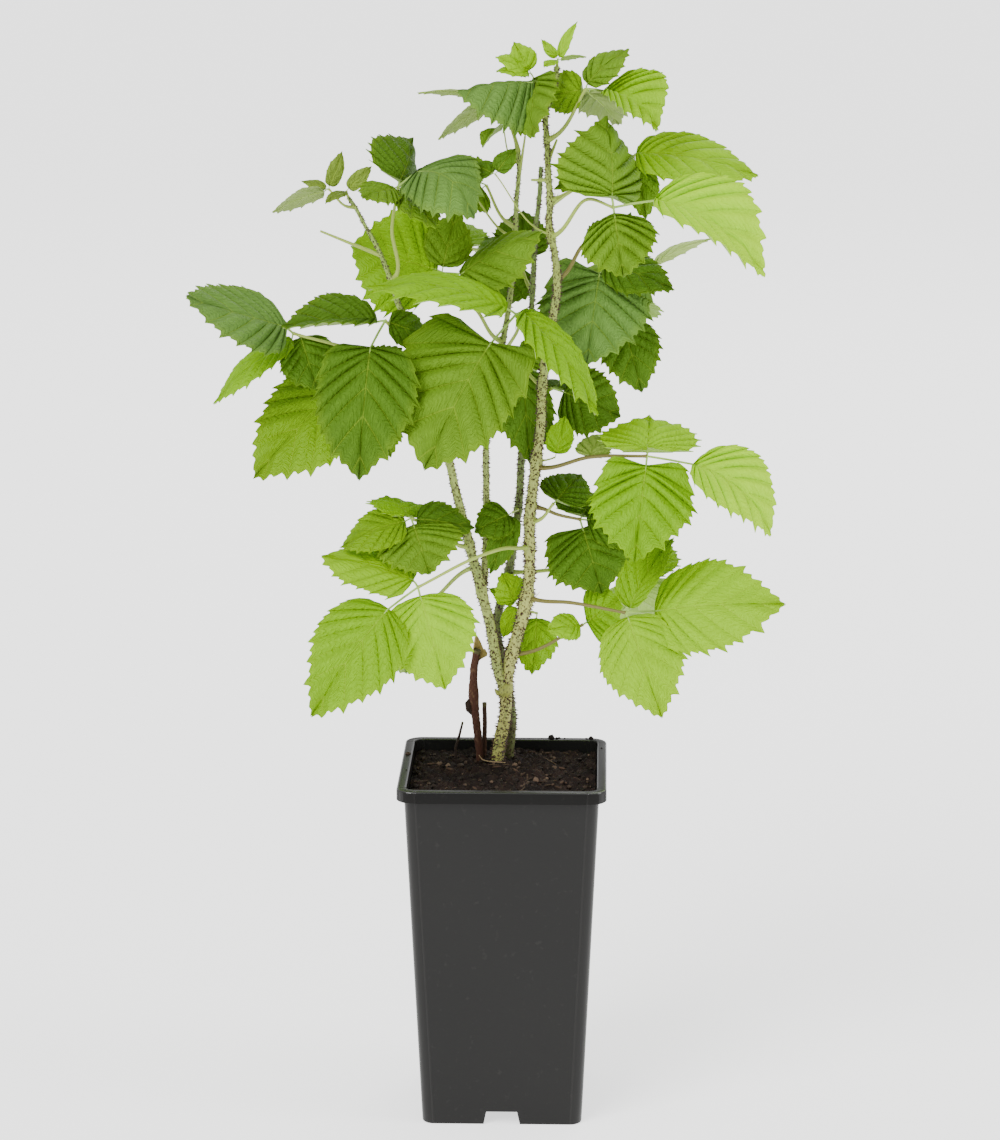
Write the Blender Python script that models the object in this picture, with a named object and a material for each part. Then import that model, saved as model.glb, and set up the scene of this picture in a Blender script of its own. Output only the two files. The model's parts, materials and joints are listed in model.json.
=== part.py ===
"""A young raspberry plant in a tall square pot. Metres, +Z up, standing on the origin.

Sizes below are in millimetres and are scaled to metres when a mesh is made. A place on the plant is given
as (right, up, depth), as the plant is seen from the front: right and up are measured in the upright plane
through the pot's middle, and depth goes back from that plane along the line of sight.
"""

from collections import namedtuple

import bmesh
import bpy
import numpy as np

MM = 0.001
SEED = 11

# Clearances between neighbouring pieces, and how far a cutter passes what it cuts
GAP = 0.35
FIT = 0.3
OVER = 3.0
SMOOTH_ANGLE = 40

# The viewer's eye, from which right, up and depth are taken
EYE = np.array((56.1, -2099.2, 797.2))

# The pot
POT_HEIGHT = 205.0
POT_HALF_BASE = 46.5
POT_HALF_TOP = 56.0
POT_WALL = 1.6
POT_CORNER = 7.0
POT_FOOT_ROUND = 0.8
POT_HOOPS = (60.0, 130.0)
RIM_HALF = 60.0
RIM_TALL = 7.0
RIM_SKIRT = 1.6
RIM_ROUND = 0.8
RIM_CORNER = 10.0
SKIRT_CORNER = 9.0
CHANNEL_HALF_TOP = 9.0
CHANNEL_HALF_FOOT = 10.8
CHANNEL_TALL = 8.0
DRAIN_RADIUS = 4.0
DRAIN_OFFSET = 26.0
DRAIN_SIDES = 8
POT_CORNER_POINTS = 4

# The soil
SOIL_EDGE = 197.6
SOIL_MOUND = 4.6
SOIL_MOUND_CENTRE = (-4.0, 24.0)
SOIL_MOUND_REACH = 44.0
SOIL_CRUMB = 0.7
SOIL_RINGS = (0.97, 0.86, 0.72, 0.58, 0.44, 0.3, 0.15)
SOIL_CORNER_POINTS = 5
ROOT_LENGTH = 45.0
HOLE_ABOVE = 12.0

# The canes
CANE_SIDES = 6
CANE_STEP = 13.0
DEAD_STEP = 6.0
PRICKLE_TALL = 1.9
PRICKLE_LONG = 0.8
PRICKLE_CLEAR = 9.0

# The leaves
BLADE_THICK = 0.7
STALK_SIDES = 4
STALK_FOOT = 1.15
STALK_END = 0.8
STALK_STEP = 18.0
STALK_LEAD = 3.0
STRIP_HALF = 0.5
STRIP_LIMIT = 30.0
STALK_BITE = 1.5
KNUCKLE = 1.1
NARROW_LEAF = 30.0
BASE_SHARE = 0.08
PLEAT_SHARE = 0.03
PLEAT_MOST = 1.3
SPINE_END = 0.93
# A leaflet at least this wide has this many side veins on each side, and so this many teeth
VEINS = ((50, 5), (33, 4), (16, 3), (0, 2))

# A cane: its course, and its radius at some of the heights on it
Cane = namedtuple("Cane", "course radii")
# A leaf: the cane and the height it grows from, the bends of its stalk, where its leaflets meet, its green
Leaf = namedtuple("Leaf", "cane at via hub green blades")
# A leaflet: its tip, width, the way its upper face looks, its base, how far it arches, how its halves
# tilt, and how far the lobes at its base reach back
Blade = namedtuple("Blade", "tip width facing base arch fold heart")

GREENS = {
    "bright": (0.30, 0.46, 0.05),
    "light": (0.25, 0.42, 0.10),
    "mid": (0.17, 0.33, 0.07),
    "dark": (0.10, 0.24, 0.06),
    "young": (0.28, 0.36, 0.12),
}

CANES = {
    "main": Cane(
        (
            (-3.6, 209, 20), (-1.9, 220.8, 19), (0.2, 231.6, 18), (1.3, 241.9, 17), (1, 250.3, 16),
            (2.2, 257.5, 15), (4.8, 272.4, 13), (7.7, 282, 12), (11.7, 296.8, 10), (14.5, 311.6, 8),
            (14.9, 331.1, 6), (14.9, 350.6, 5), (16.2, 365.2, 4), (18.7, 385.1, 2), (21.1, 405.5, 0),
            (21.5, 420.6, -2), (22.4, 434.4, -3), (24.1, 447.1, -4), (26.9, 460.9, -5), (28.3, 470.1, -5),
            (30.2, 484.4, -5), (30.2, 490.6, -5), (29, 503.3, -4), (26.7, 514.6, -3), (25.5, 523.1, -2),
            (26.1, 531.6, -2), (24.9, 551.4, -1), (24.3, 567.7, 0), (23.4, 581.7, 0), (25.3, 591.2, 0),
            (28.7, 599.6, 1), (29.8, 610.2, 2),
        ),
        ((209, 3.6), (300, 3.3), (420, 2.5), (490, 2.0), (560, 1.7), (610, 1.2)),
    ),
    "left": Cane(
        (
            (0.2, 250.9, 15), (-2.7, 259.3, 14), (-5.3, 273.6, 12), (-7.9, 288.5, 10), (-11.4, 302.7, 8),
            (-14.8, 316.4, 6), (-17.6, 327, 5), (-20, 337, 4), (-23.9, 353.5, 3), (-27.4, 367, 2),
            (-30.2, 380, 1), (-32.4, 388.6, 1), (-34.6, 409, 0), (-38, 429.3, 0), (-43, 446.5, 0),
            (-49.2, 456.9, 0), (-55.5, 466.6, 0), (-60.5, 477, 0), (-62.7, 485, -1), (-67.1, 497.5, -2),
            (-70.4, 505.5, -3), (-74.9, 514, -3), (-78.8, 520.8, -4), (-83.2, 529.4, -4), (-87.7, 536.2, -4),
        ),
        ((250, 3.3), (367, 2.4), (446, 1.8), (505, 1.2), (536, 0.9)),
    ),
    "middle": Cane(
        (
            (-12.5, 308, 7), (-11.3, 315.2, 9), (-10.5, 330, 12), (-10.1, 356.5, 15), (-10.1, 374, 15),
            (-10.1, 395, 14), (-7.8, 414.8, 13), (-4.4, 435, 12), (-0.4, 455.2, 12), (2.4, 471.2, 12),
            (4.7, 489.5, 12), (5.8, 506.7, 12), (6.4, 516.9, 12), (7.2, 535.6, 12), (8.6, 552.5, 11),
            (8, 562.1, 10),
        ),
        ((308, 2.15), (562, 1.2)),
    ),
    "back": Cane(
        (
            (3.1, 212.3, 31), (4.8, 232.2, 30), (3.7, 243.7, 29), (0.8, 261.7, 27), (-3.3, 279.6, 25),
            (-3.9, 290.3, 24), (-1.6, 303.3, 23), (1.9, 316.4, 22), (4.2, 327, 21), (6.5, 341.7, 20),
            (8.8, 362.3, 19), (9.9, 385.1, 18), (11, 403.2, 18), (12.1, 420.6, 18), (13.2, 437.9, 18),
            (14.9, 456.3, 18), (16, 478.1, 18), (17.1, 501, 17), (17.7, 518.6, 16), (19.4, 529.9, 16),
            (21, 553.7, 15),
        ),
        ((212, 2.8), (385, 2.1), (554, 1.2)),
    ),
    "old": Cane(
        (
            (-14, 212.3, 24), (-14.9, 220.8, 24), (-16.7, 237.7, 23), (-17.5, 247.3, 22), (-17.2, 262.3, 20),
            (-15.5, 273.6, 19),
        ),
        ((212, 2.2), (236, 2.3), (247, 3.1), (256, 2.2), (274, 2.1)),
    ),
    "stub": Cane(((-11.2, 213.5, 29), (-10.9, 231.6, 29), (-11.2, 241.9, 29)), ((213, 1.4), (242, 1.2))),
    "twig": Cane(((-28, 215, 30), (-26, 222, 30), (-24, 230, 30)), ((215, 0.8), (230, 0.6))),
}

# Where the side canes leave the main one: free of prickles
FORKS = (("left", 253), ("middle", 312))

# Bare stalks left where leaves dropped: the cane, its height there, the end, and the radius
SPURS = (
    ("main", 546, (15.4, 546.4, -3), 0.8),
    ("main", 531, (36.8, 539.1, -2), 0.7),
    ("main", 556, (29.9, 569.2, 3), 0.8),
    ("left", 503, (-103.9, 517.1, -4), 0.8),
    ("middle", 543.5, (12, 571, 8), 0.7),
)


def blade(tip, width, facing, base=None, arch=0.07, fold=-6, heart=0.05):
    return Blade(tip, width, facing, base, arch, fold, heart)


LEAVES = {
    "leaf_front_centre": Leaf(
        "middle", 449, ((3.6, 453.5, -4), (8.7, 465, -20)), (7, 470, -28), "mid",
        (
            blade((-45.4, 378.1, -62), 77, (-0.25, -0.85, 0.45), (-7.5, 453.5, -38), heart=0.2),
            blade((-79, 483.2, -40), 44, (0, -0.25, 0.97), (2, 473.5, -38), 0.1),
            blade((53, 410.3, -50), 45, (0.75, -0.35, 0.55), (10.7, 471.8, -28)),
        ),
    ),
    "leaf_left_upper_front": Leaf(
        "left", 445, ((-56.2, 454.4, -10),), (-67.4, 466, -30), "dark",
        (
            blade((-83, 372.3, -52), 55, (-0.1, -0.93, 0.35), (-76, 451, -38), heart=0.1),
            blade((-127, 461.4, -40), 48, (0, -0.2, 0.98), arch=0.03, fold=15),
            blade((-41, 454, -12), 22, (0.3, -0.8, 0.5), (-65.3, 465.1, -29)),
        ),
    ),
    "leaf_far_left": Leaf(
        "left", 430, ((-60, 440, -3),), (-120, 458.6, -5), "mid",
        (
            blade((-182, 478.9, -40), 52, (-0.1, -0.6, 0.8), (-124.4, 462.6, -8), 0),
            blade((-166, 416.5, -12), 34, (-0.5, -0.3, 0.8), (-120.6, 455.2, -4)),
            blade((-106.1, 424.7, -6), 32, (0, -0.9, 0.4), (-115.6, 456.3, -3)),
        ),
    ),
    "leaf_left_under": Leaf(
        "left", 409, ((-55, 420, 4),), (-79.1, 432.9, 8), "bright",
        (
            blade((-144, 372.9, -8), 58, (-0.3, -0.8, 0.5), (-87.5, 431, 6)),
            blade((-64.5, 386.3, -2), 30, (0, -0.9, 0.4), (-78.6, 429.3, 6)),
            blade((-57.3, 450.6, 5), 22, (0, -0.8, 0.5)),
        ),
    ),
    "leaf_left_top": Leaf(
        "left", 489, ((-63.2, 517.8, -8),), (-59.5, 542.4, -18), "dark",
        (
            blade((-52.1, 570, 20), 46, (0.75, -0.6, 0.3), fold=-28),
            blade((-38.2, 518.2, -38), 28, (0.6, -0.6, 0.5)),
            blade((-80.3, 535.3, -32), 30, (-0.1, -0.4, 0.9)),
            blade((-16.8, 522.5, -30), 52, (0.3, -0.65, 0.7), (-49, 551, -16), 0.32, -12),
        ),
    ),
    "leaf_left_young": Leaf(
        "left", 531, (), (-98.9, 541, -8), "young",
        (
            blade((-91, 562.6, 0), 10, (0.5, -0.8, 0.2)),
            blade((-131, 527, -14), 22, (-0.2, 0.5, 0.85)),
            blade((-114.3, 545.2, -4), 8, (0, -0.5, 0.85)),
        ),
    ),
    "shoot_tip_left": Leaf(
        "left", 536.2, (), (-88.8, 540, -4), "young",
        (
            blade((-101, 532.5, -26), 8, (0, -0.5, 0.85)),
            blade((-74.2, 554, -2), 9, (0.3, -0.8, 0.5)),
        ),
    ),
    "leaf_mid_left": Leaf(
        "middle", 454.6, ((-14.6, 471.2, 4),), (-35, 493.6, 2), "mid",
        (
            blade((-86.9, 509, 26), 60, (0, -0.98, 0.18), (-37.7, 495.2, 8)),
            blade((-26.4, 529.9, 20), 26, (0, -0.9, 0.4), (-34.5, 497, 4)),
            blade((22.7, 516.9, -14), 44, (0.1, -0.6, 0.8), (-24.5, 493, -6), fold=-30),
        ),
    ),
    "leaf_mid_back": Leaf(
        "back", 484, (), (9.2, 499.8, 34), "dark",
        (
            blade((-11, 513.5, 60), 30, (0, -0.3, 0.95)),
            blade((10.9, 529.3, 50), 32, (0, -0.7, 0.7)),
            blade((1, 475, 38), 24, (0, -0.9, 0.4)),
        ),
    ),
    "leaf_right_top_front": Leaf(
        "main", 514, ((47.4, 535.6, -22),), (61.8, 531, -36), "mid",
        (
            blade((56.3, 582.2, -8), 60, (0.55, -0.75, 0.35), fold=-28),
            blade((67.9, 490.6, -55), 44, (-0.1, -0.9, 0.35), fold=-25),
            blade((147.5, 490.6, -36), 56, (0.2, -0.5, 0.84), (84.6, 535.6, -30), 0.14, 20),
        ),
    ),
    "leaf_right_top_back": Leaf(
        "main", 535, ((50, 549, 6),), (73.2, 559.9, 14), "light",
        (
            blade((143.4, 547.4, 10), 50, (0.1, -0.45, 0.89), (74.4, 562, 14)),
            blade((80.2, 523.8, 2), 22, (0.2, -0.95, 0.2)),
            blade((27.8, 540.6, 8), 24, (0, -0.8, 0.6)),
        ),
    ),
    "leaf_summit_right": Leaf(
        "main", 569.4, (), (46, 597.6, -6), "light",
        (
            blade((86, 572.7, -12), 48, (0.3, -0.5, 0.8), (56.7, 596.8, -4), 0.18, 20),
            blade((70.5, 619.6, 2), 26, (-0.35, -0.5, 0.8), (46.5, 600.5, -5)),
            blade((23.1, 592.3, 17), 24, (0, -0.95, 0.3)),
            blade((64.6, 576.6, 14), 30, (0.2, 0.6, 0.75)),
        ),
    ),
    "leaf_summit_left": Leaf(
        "main", 582, ((20.9, 594.1, -2),), (19.5, 603, -2), "mid",
        (
            blade((17.6, 569.4, -30), 42, (-0.8, -0.45, 0.36), (18.6, 602.4, -4)),
            blade((-26.1, 594.6, -18), 52, (0, -0.35, 0.94), (16.4, 601.3, -5), fold=-45),
        ),
    ),
    "leaf_summit_far_left": Leaf(
        "middle", 562.1, ((4.9, 573.9, 12),), (-3.7, 591.2, 17), "mid",
        (
            blade((-49, 594.6, 18), 18, (0, 0.3, 0.95)),
            blade((-36.9, 568.3, 5), 20, (-0.4, 0.5, 0.75), (-7.7, 589, 14)),
            blade((9.1, 594, 45), 30, (0, -0.3, 0.95)),
        ),
    ),
    "leaf_upper_small": Leaf(
        "middle", 557.6, (), (-0.4, 576, 4), "mid",
        (blade((-12.2, 564.3, -12), 13, (-0.5, -0.2, 0.85), fold=30),),
    ),
    "leaf_summit_young": Leaf(
        "main", 592, ((20.3, 598, 6),), (15.3, 606, 5), "bright",
        (
            blade((5.4, 624, 4), 15, (-0.3, -0.8, 0.5)),
            blade((-5.1, 615.1, -2), 14, (0, -0.6, 0.8)),
            blade((-4.6, 607, -6), 11, (0, -0.5, 0.87)),
        ),
    ),
    "shoot_tip_main": Leaf(
        "main", 610.2, (), (30.2, 614, 2), "bright",
        (
            blade((41.2, 635.2, 0), 8, (-0.7, -0.7, 0.1)),
            blade((20.8, 625.3, -3), 6, (-0.3, -0.9, 0.3)),
            blade((46.3, 615.3, 4), 8, (0, 0.4, 0.9)),
            blade((22.3, 609.6, -8), 8, (-0.2, -0.5, 0.8)),
        ),
    ),
    "leaf_upper_mid": Leaf(
        "main", 516, (), (-4.9, 549.7, -10), "dark",
        (
            blade((6.9, 564.3, -4), 12, (0, -0.8, 0.6)),
            blade((-19, 555, 2), 14, (0, -0.7, 0.7)),
        ),
    ),
    "leaf_behind_upper_left": Leaf(
        "middle", 520, (), (-10, 543.5, 14), "mid",
        (
            blade((-33.1, 554.7, 22), 28, (0, -0.6, 0.8)),
            blade((-23.5, 532.1, 10), 24, (0, -0.9, 0.4)),
        ),
    ),
    "leaf_behind_upper_mid": Leaf(
        "middle", 514, (), (-16.7, 537.2, 0), "mid",
        (blade((-34, 531, -4), 20, (0, -0.7, 0.7)),),
    ),
    "leaf_right_mid": Leaf(
        "main", 382.3, ((48.3, 387.5, -12),), (82, 388.4, -30), "light",
        (
            blade((75.3, 325.2, -48), 54, (-0.05, -0.9, 0.4), heart=0.18),
            blade((83.5, 410.6, 12), 53, (0, -0.5, 0.87)),
            blade((152.7, 340.7, -30), 46, (0.35, -0.6, 0.7), (108.1, 384.2, -26), 0.2, 10),
            blade((58.5, 401.5, 8), 22, (-0.2, -0.5, 0.85), (48.6, 388.2, -10.6)),
        ),
    ),
    "leaf_right_low": Leaf(
        "main", 305.7, ((38.2, 302.1, -10),), (70.6, 296.2, -28), "bright",
        (
            blade((163.5, 301.6, -38), 55, (0, -0.8, 0.6), (87.3, 297.4, -26)),
            blade((92.3, 232.8, -48), 45, (-0.15, -0.85, 0.45), (71.7, 293.8, -30)),
            blade((98.5, 341.1, -6), 30, (-0.6, -0.6, 0.5), fold=15),
        ),
    ),
    "leaf_right_low_back": Leaf(
        "main", 358.2, ((30.6, 354.1, 10),), (43.8, 351.2, 18), "dark",
        (
            blade((56.7, 306.9, 6), 52, (0, -0.9, 0.4), heart=0.15),
            blade((53, 367, 45), 36, (0, -0.5, 0.85)),
            blade((84, 350, 24), 36, (0.2, -0.7, 0.7)),
        ),
    ),
    "leaf_right_small": Leaf(
        "main", 350, (), (28.6, 360.5, -2), "dark",
        (blade((44.8, 377, 25), 30, (0, -0.7, 0.7)),),
    ),
    "leaf_right_low_inner": Leaf(
        "main", 272, (), (45.9, 289.1, 14), "light",
        (
            blade((68.4, 304.5, 2), 36, (0, -0.8, 0.6)),
            blade((24.4, 285.5, 4), 18, (0, -0.8, 0.6)),
        ),
    ),
    "leaf_low_mid": Leaf(
        "main", 296, (), (19.2, 295.6, 23), "light",
        (blade((16.2, 258.7, 26), 25, (0.2, -0.9, 0.3)),),
    ),
    "leaf_left_low": Leaf(
        "main", 335.3, ((0.7, 334, -12), (-13.6, 329.4, -22)), (-49.6, 310.6, -34), "bright",
        (
            blade((-112.4, 232, -52), 52, (-0.2, -0.85, 0.5), (-66.8, 298, -38)),
            blade((-34, 248.9, -44), 50, (0.1, -0.9, 0.4)),
            blade((-105.8, 327.8, -14), 44, (0, -0.42, 0.9), (-52, 315, -28)),
        ),
    ),
    "leaf_left_low_back": Leaf(
        "left", 335.9, ((-33.8, 341.6, -6),), (-53.2, 351.4, -14), "dark",
        (
            blade((-42.9, 317.6, -32), 46, (0, -0.8, 0.6)),
            blade((-94.6, 333.1, -16), 34, (-0.2, -0.5, 0.85)),
            blade((-68.1, 364, 22), 34, (0, 0.3, 0.95)),
            blade((-16.5, 345.3, -8), 26, (0.2, -0.7, 0.7)),
        ),
    ),
    "leaf_inner_low": Leaf(
        "back", 357.6, (), (5.4, 355.3, 5), "dark",
        (
            blade((-17.1, 342.9, -1), 24, (-0.1, -0.8, 0.55)),
            blade((-8, 318.2, -2), 18, (0, -0.9, 0.4)),
        ),
    ),
    "leaf_inner_foot": Leaf(
        "main", 303, (), (7.7, 300.9, 18), "bright",
        (
            blade((-1.6, 319.9, 12), 20, (0, -0.8, 0.6)),
            blade((-0.6, 280.8, 18.5), 12, (0, -0.95, 0.2)),
            blade((-9.2, 310.5, 18), 8, (0, -0.9, 0.4)),
        ),
    ),
    "leaf_inner_mid": Leaf(
        "main", 430, (), (10.4, 441.4, 8), "dark",
        (
            blade((15.2, 382.8, 10), 31, (0, -1, 0), arch=0.02, fold=0),
            blade((23.5, 452.3, 10), 20, (0, -0.8, 0.6)),
        ),
    ),
    "leaf_inner_back": Leaf(
        "middle", 413, (), (-24.9, 420.5, 17), "mid",
        (
            blade((-53, 395.7, 14), 30, (0, -0.8, 0.6)),
            blade((-26, 385.7, 8), 26, (0, -0.9, 0.4)),
        ),
    ),
    "leaf_inner_right": Leaf(
        "back", 420, (), (27.5, 427.5, 14), "dark",
        (
            blade((66.9, 410.7, 16), 40, (0, -0.85, 0.5), (34, 425.5, 16)),
            blade((37.8, 429.4, 60), 32, (0, -0.4, 0.9)),
        ),
    ),
    "leaf_inner_small": Leaf(
        "main", 386, (), (29.5, 387.5, 2), "light",
        (blade((35, 412, 2), 16, (0.2, -0.9, 0.3)),),
    ),
    "leaf_right_behind": Leaf(
        "main", 491, ((45.4, 510.2, 10), (48.8, 512.5, 14)), (53.9, 499.8, 22), "dark",
        (
            blade((47, 440, 10), 60, (0, -0.85, 0.5), (54.2, 493.6, 22), heart=0.24),
            blade((97, 483.3, 12), 32, (0.2, -0.6, 0.75)),
            blade((72, 528, 44), 32, (0, -0.5, 0.85)),
        ),
    ),
    "leaf_right_far_behind": Leaf(
        "back", 438, ((24, 447, 39),), (70.6, 478, 44), "dark",
        (
            blade((117.7, 513.5, 36), 16, (-0.3, 0.5, 0.8), (85.5, 499.8, 42)),
            blade((78.8, 424.7, 22), 34, (0.1, -0.9, 0.4), (67.2, 465.5, 34)),
        ),
    ),
    "leaf_rear_middle": Leaf(
        "middle", 425, ((-12, 430, 40),), (-20, 432, 70), "mid",
        (
            blade((-60, 432, 108), 46, (-0.3, 0.6, 0.75)),
            blade((-26, 396, 126), 49, (0, 0.75, 0.65)),
            blade((16, 436, 112), 44, (0.3, 0.6, 0.75)),
        ),
    ),
    "leaf_rear_right": Leaf(
        "back", 449, ((23, 456, 48),), (50, 480, 80), "light",
        (
            blade((44, 448, 126), 48, (0, 0.8, 0.6)),
            blade((88, 468, 112), 44, (0.3, 0.5, 0.8)),
            blade((62, 500, 132), 42, (0, 0.3, 0.95)),
        ),
    ),
    "leaf_rear_left": Leaf(
        "left", 420, ((-62, 421, 28),), (-84, 420, 56), "mid",
        (
            blade((-124, 404, 94), 45, (-0.4, 0.6, 0.7)),
            blade((-88, 386, 108), 46, (0, 0.8, 0.6)),
            blade((-62, 404, 88), 32, (0.3, 0.6, 0.75)),
        ),
    ),
    "leaf_rear_top": Leaf(
        "middle", 500, ((-12, 506, 34),), (-30, 508, 62), "dark",
        (
            blade((-74, 512, 98), 42, (-0.2, 0.4, 0.9)),
            blade((-32, 524, 116), 42, (0, 0.5, 0.85)),
            blade((4, 508, 104), 32, (0.2, 0.5, 0.85)),
        ),
    ),
    "leaf_rear_low_right": Leaf(
        "back", 320, ((42, 322, 38),), (76, 316, 60), "bright",
        (
            blade((118, 298, 88), 45, (0.3, 0.6, 0.75)),
            blade((80, 276, 110), 46, (0, 0.8, 0.6)),
            blade((94, 338, 102), 32, (0.3, 0.4, 0.85)),
        ),
    ),
    "leaf_rear_low_left": Leaf(
        "left", 322, ((-40, 304, 20),), (-60, 292, 42), "bright",
        (
            blade((-96, 270, 72), 44, (-0.4, 0.6, 0.7)),
            blade((-56, 258, 92), 45, (0, 0.85, 0.5)),
            blade((-32, 288, 82), 32, (0.3, 0.6, 0.75)),
        ),
    ),
}


def unit(vector):
    vector = np.asarray(vector, float)
    return vector / np.linalg.norm(vector)


def sight(place):
    """The point in millimetres for (right, up, depth), or for an array of such places."""
    place = np.asarray(place, float)
    in_plane = place * (1, 0, 0) + place[..., 1:2] * (0, 0, 1)
    return EYE + (in_plane - EYE) * (1 - place[..., 2:3] / EYE[1])


def smooth(points, step):
    """Points about step apart on the smooth curve through the given ones, a cubic between each two."""
    points = np.asarray(points, float)
    spans = np.linalg.norm(np.diff(points, axis=0), axis=1)
    along = np.concatenate([[0], np.cumsum(spans)])
    slopes = np.gradient(points, along, axis=0)
    count = max(2, round(along[-1] / step) + 1)
    places = np.linspace(0, along[-1], count)
    i = np.clip(np.searchsorted(along, places, side="right") - 1, 0, len(spans) - 1)
    span = spans[i][:, None]
    t = (places - along[i])[:, None] / span
    start = (2 * t**3 - 3 * t**2 + 1) * points[i] + (t**3 - 2 * t**2 + t) * span * slopes[i]
    end = (3 * t**2 - 2 * t**3) * points[i + 1] + (t**3 - t**2) * span * slopes[i + 1]
    return start + end


def rings_along(path, radii, sides, first_way=None):
    """A ring of points round each place of a path, each turned from the last as little as it can be."""
    ways = np.gradient(path, axis=0)
    ways /= np.linalg.norm(ways, axis=1)[:, None]
    if first_way is not None:
        ways[0] = first_way
    across = unit(np.cross(ways[0], (0.31, 0.87, 0.39)))
    turns = 2 * np.pi * np.arange(sides) / sides
    rings = []
    for centre, way, radius in zip(path, ways, radii):
        across = unit(across - way * np.dot(across, way))
        other = np.cross(way, across)
        rings.append(centre + radius * (np.outer(np.cos(turns), across) + np.outer(np.sin(turns), other)))
    return np.array(rings)


def loft(loops):
    """Points and faces of the closed skin over loops of equal length, with a flat cap at each end."""
    count = len(loops[0])
    points = np.concatenate(loops)
    faces = []
    for row in range(len(loops) - 1):
        low = row * count
        for k in range(count):
            after = (k + 1) % count
            faces.append((low + k, low + after, low + count + after, low + count + k))
    faces.append(tuple(reversed(range(count))))
    faces.append(tuple(range(len(points) - count, len(points))))
    return points, faces


def tube(path, radii, sides, first_way=None):
    return loft(rings_along(path, radii, sides, first_way))


def add_solid(name, points, faces):
    """A mesh object from points in millimetres."""
    mesh = bpy.data.meshes.new(name)
    mesh.from_pydata((np.asarray(points) * MM).tolist(), [], faces)
    mesh.update()
    solid = bpy.data.objects.new(name, mesh)
    bpy.context.scene.collection.objects.link(solid)
    return solid


def apply_modifiers(solid):
    graph = bpy.context.evaluated_depsgraph_get()
    mesh = bpy.data.meshes.new_from_object(solid.evaluated_get(graph))
    solid.modifiers.clear()
    solid.data = mesh


def combine(solid, others, operation):
    """Joins the other objects to the solid, or cuts them from it, and removes them."""
    group = bpy.data.collections.new(solid.name + "_tools")
    bpy.context.scene.collection.children.link(group)
    for other in others:
        group.objects.link(other)
    modifier = solid.modifiers.new("Shape", "BOOLEAN")
    modifier.operation = operation
    modifier.operand_type = "COLLECTION"
    modifier.collection = group
    modifier.solver = "EXACT"
    apply_modifiers(solid)
    for other in others:
        bpy.data.objects.remove(other)
    bpy.data.collections.remove(group)
    return solid


def keep_main_body(solid):
    """Drops the loose scraps and fills the sealed pockets that joining leaves beside the main body."""
    shape = bmesh.new()
    shape.from_mesh(solid.data)
    waiting = set(shape.verts)
    bodies = []
    while waiting:
        reached = [waiting.pop()]
        for corner in reached:
            near = {edge.other_vert(corner) for edge in corner.link_edges} & waiting
            waiting -= near
            reached += near
        bodies.append(reached)
    bodies.sort(key=len)
    for scrap in bodies[:-1]:
        bmesh.ops.delete(shape, geom=scrap, context="VERTS")
    shape.to_mesh(solid.data)
    shape.free()


def finish(solid, colour, roughness, smooth_angle=None):
    """Gives the solid its own material, and soft shading where it is round."""
    material = bpy.data.materials.new(solid.name)
    material.use_nodes = True
    surface = material.node_tree.nodes["Principled BSDF"]
    surface.inputs["Base Color"].default_value = (*colour, 1)
    surface.inputs["Roughness"].default_value = roughness
    surface.inputs["Metallic"].default_value = 0
    solid.data.materials.clear()
    solid.data.materials.append(material)
    if smooth_angle:
        solid.data.shade_smooth()
        solid.data.set_sharp_from_angle(angle=np.radians(smooth_angle))


def rounded_square(half, corner, height, per_corner):
    """A square loop with round corners, each of per_corner points on its quarter circle."""
    loop = []
    for quarter in range(4):
        middle = np.radians(45 + 90 * quarter)
        centre = np.sqrt(2) * (half - corner) * np.array((np.cos(middle), np.sin(middle)))
        for turn in np.linspace(-45, 45, per_corner):
            angle = middle + np.radians(turn)
            loop.append((*(centre + corner * np.array((np.cos(angle), np.sin(angle)))), height))
    return np.array(loop)


def pot_half(height):
    """Half the outer width of the pot's wall at a height."""
    return POT_HALF_BASE + (POT_HALF_TOP - POT_HALF_BASE) * height / POT_HEIGHT


def cross_bars(name, grow, tall):
    """Two crossing bars, narrower at the top, that follow the channels under the pot, wider by grow."""
    bars = []
    for turned in (False, True):
        loops = []
        for height, half in ((-1, CHANNEL_HALF_FOOT), (tall, CHANNEL_HALF_TOP)):
            reach = POT_HALF_TOP + OVER
            wide = half + grow
            loop = [(-reach, -wide), (reach, -wide), (reach, wide), (-reach, wide)]
            if turned:
                loop = [(-y, x) for x, y in loop]
            loops.append(np.array([(x, y, height) for x, y in loop]))
        bars.append(add_solid(f"{name}_{int(turned)}", *loft(loops)))
    return bars


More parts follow.
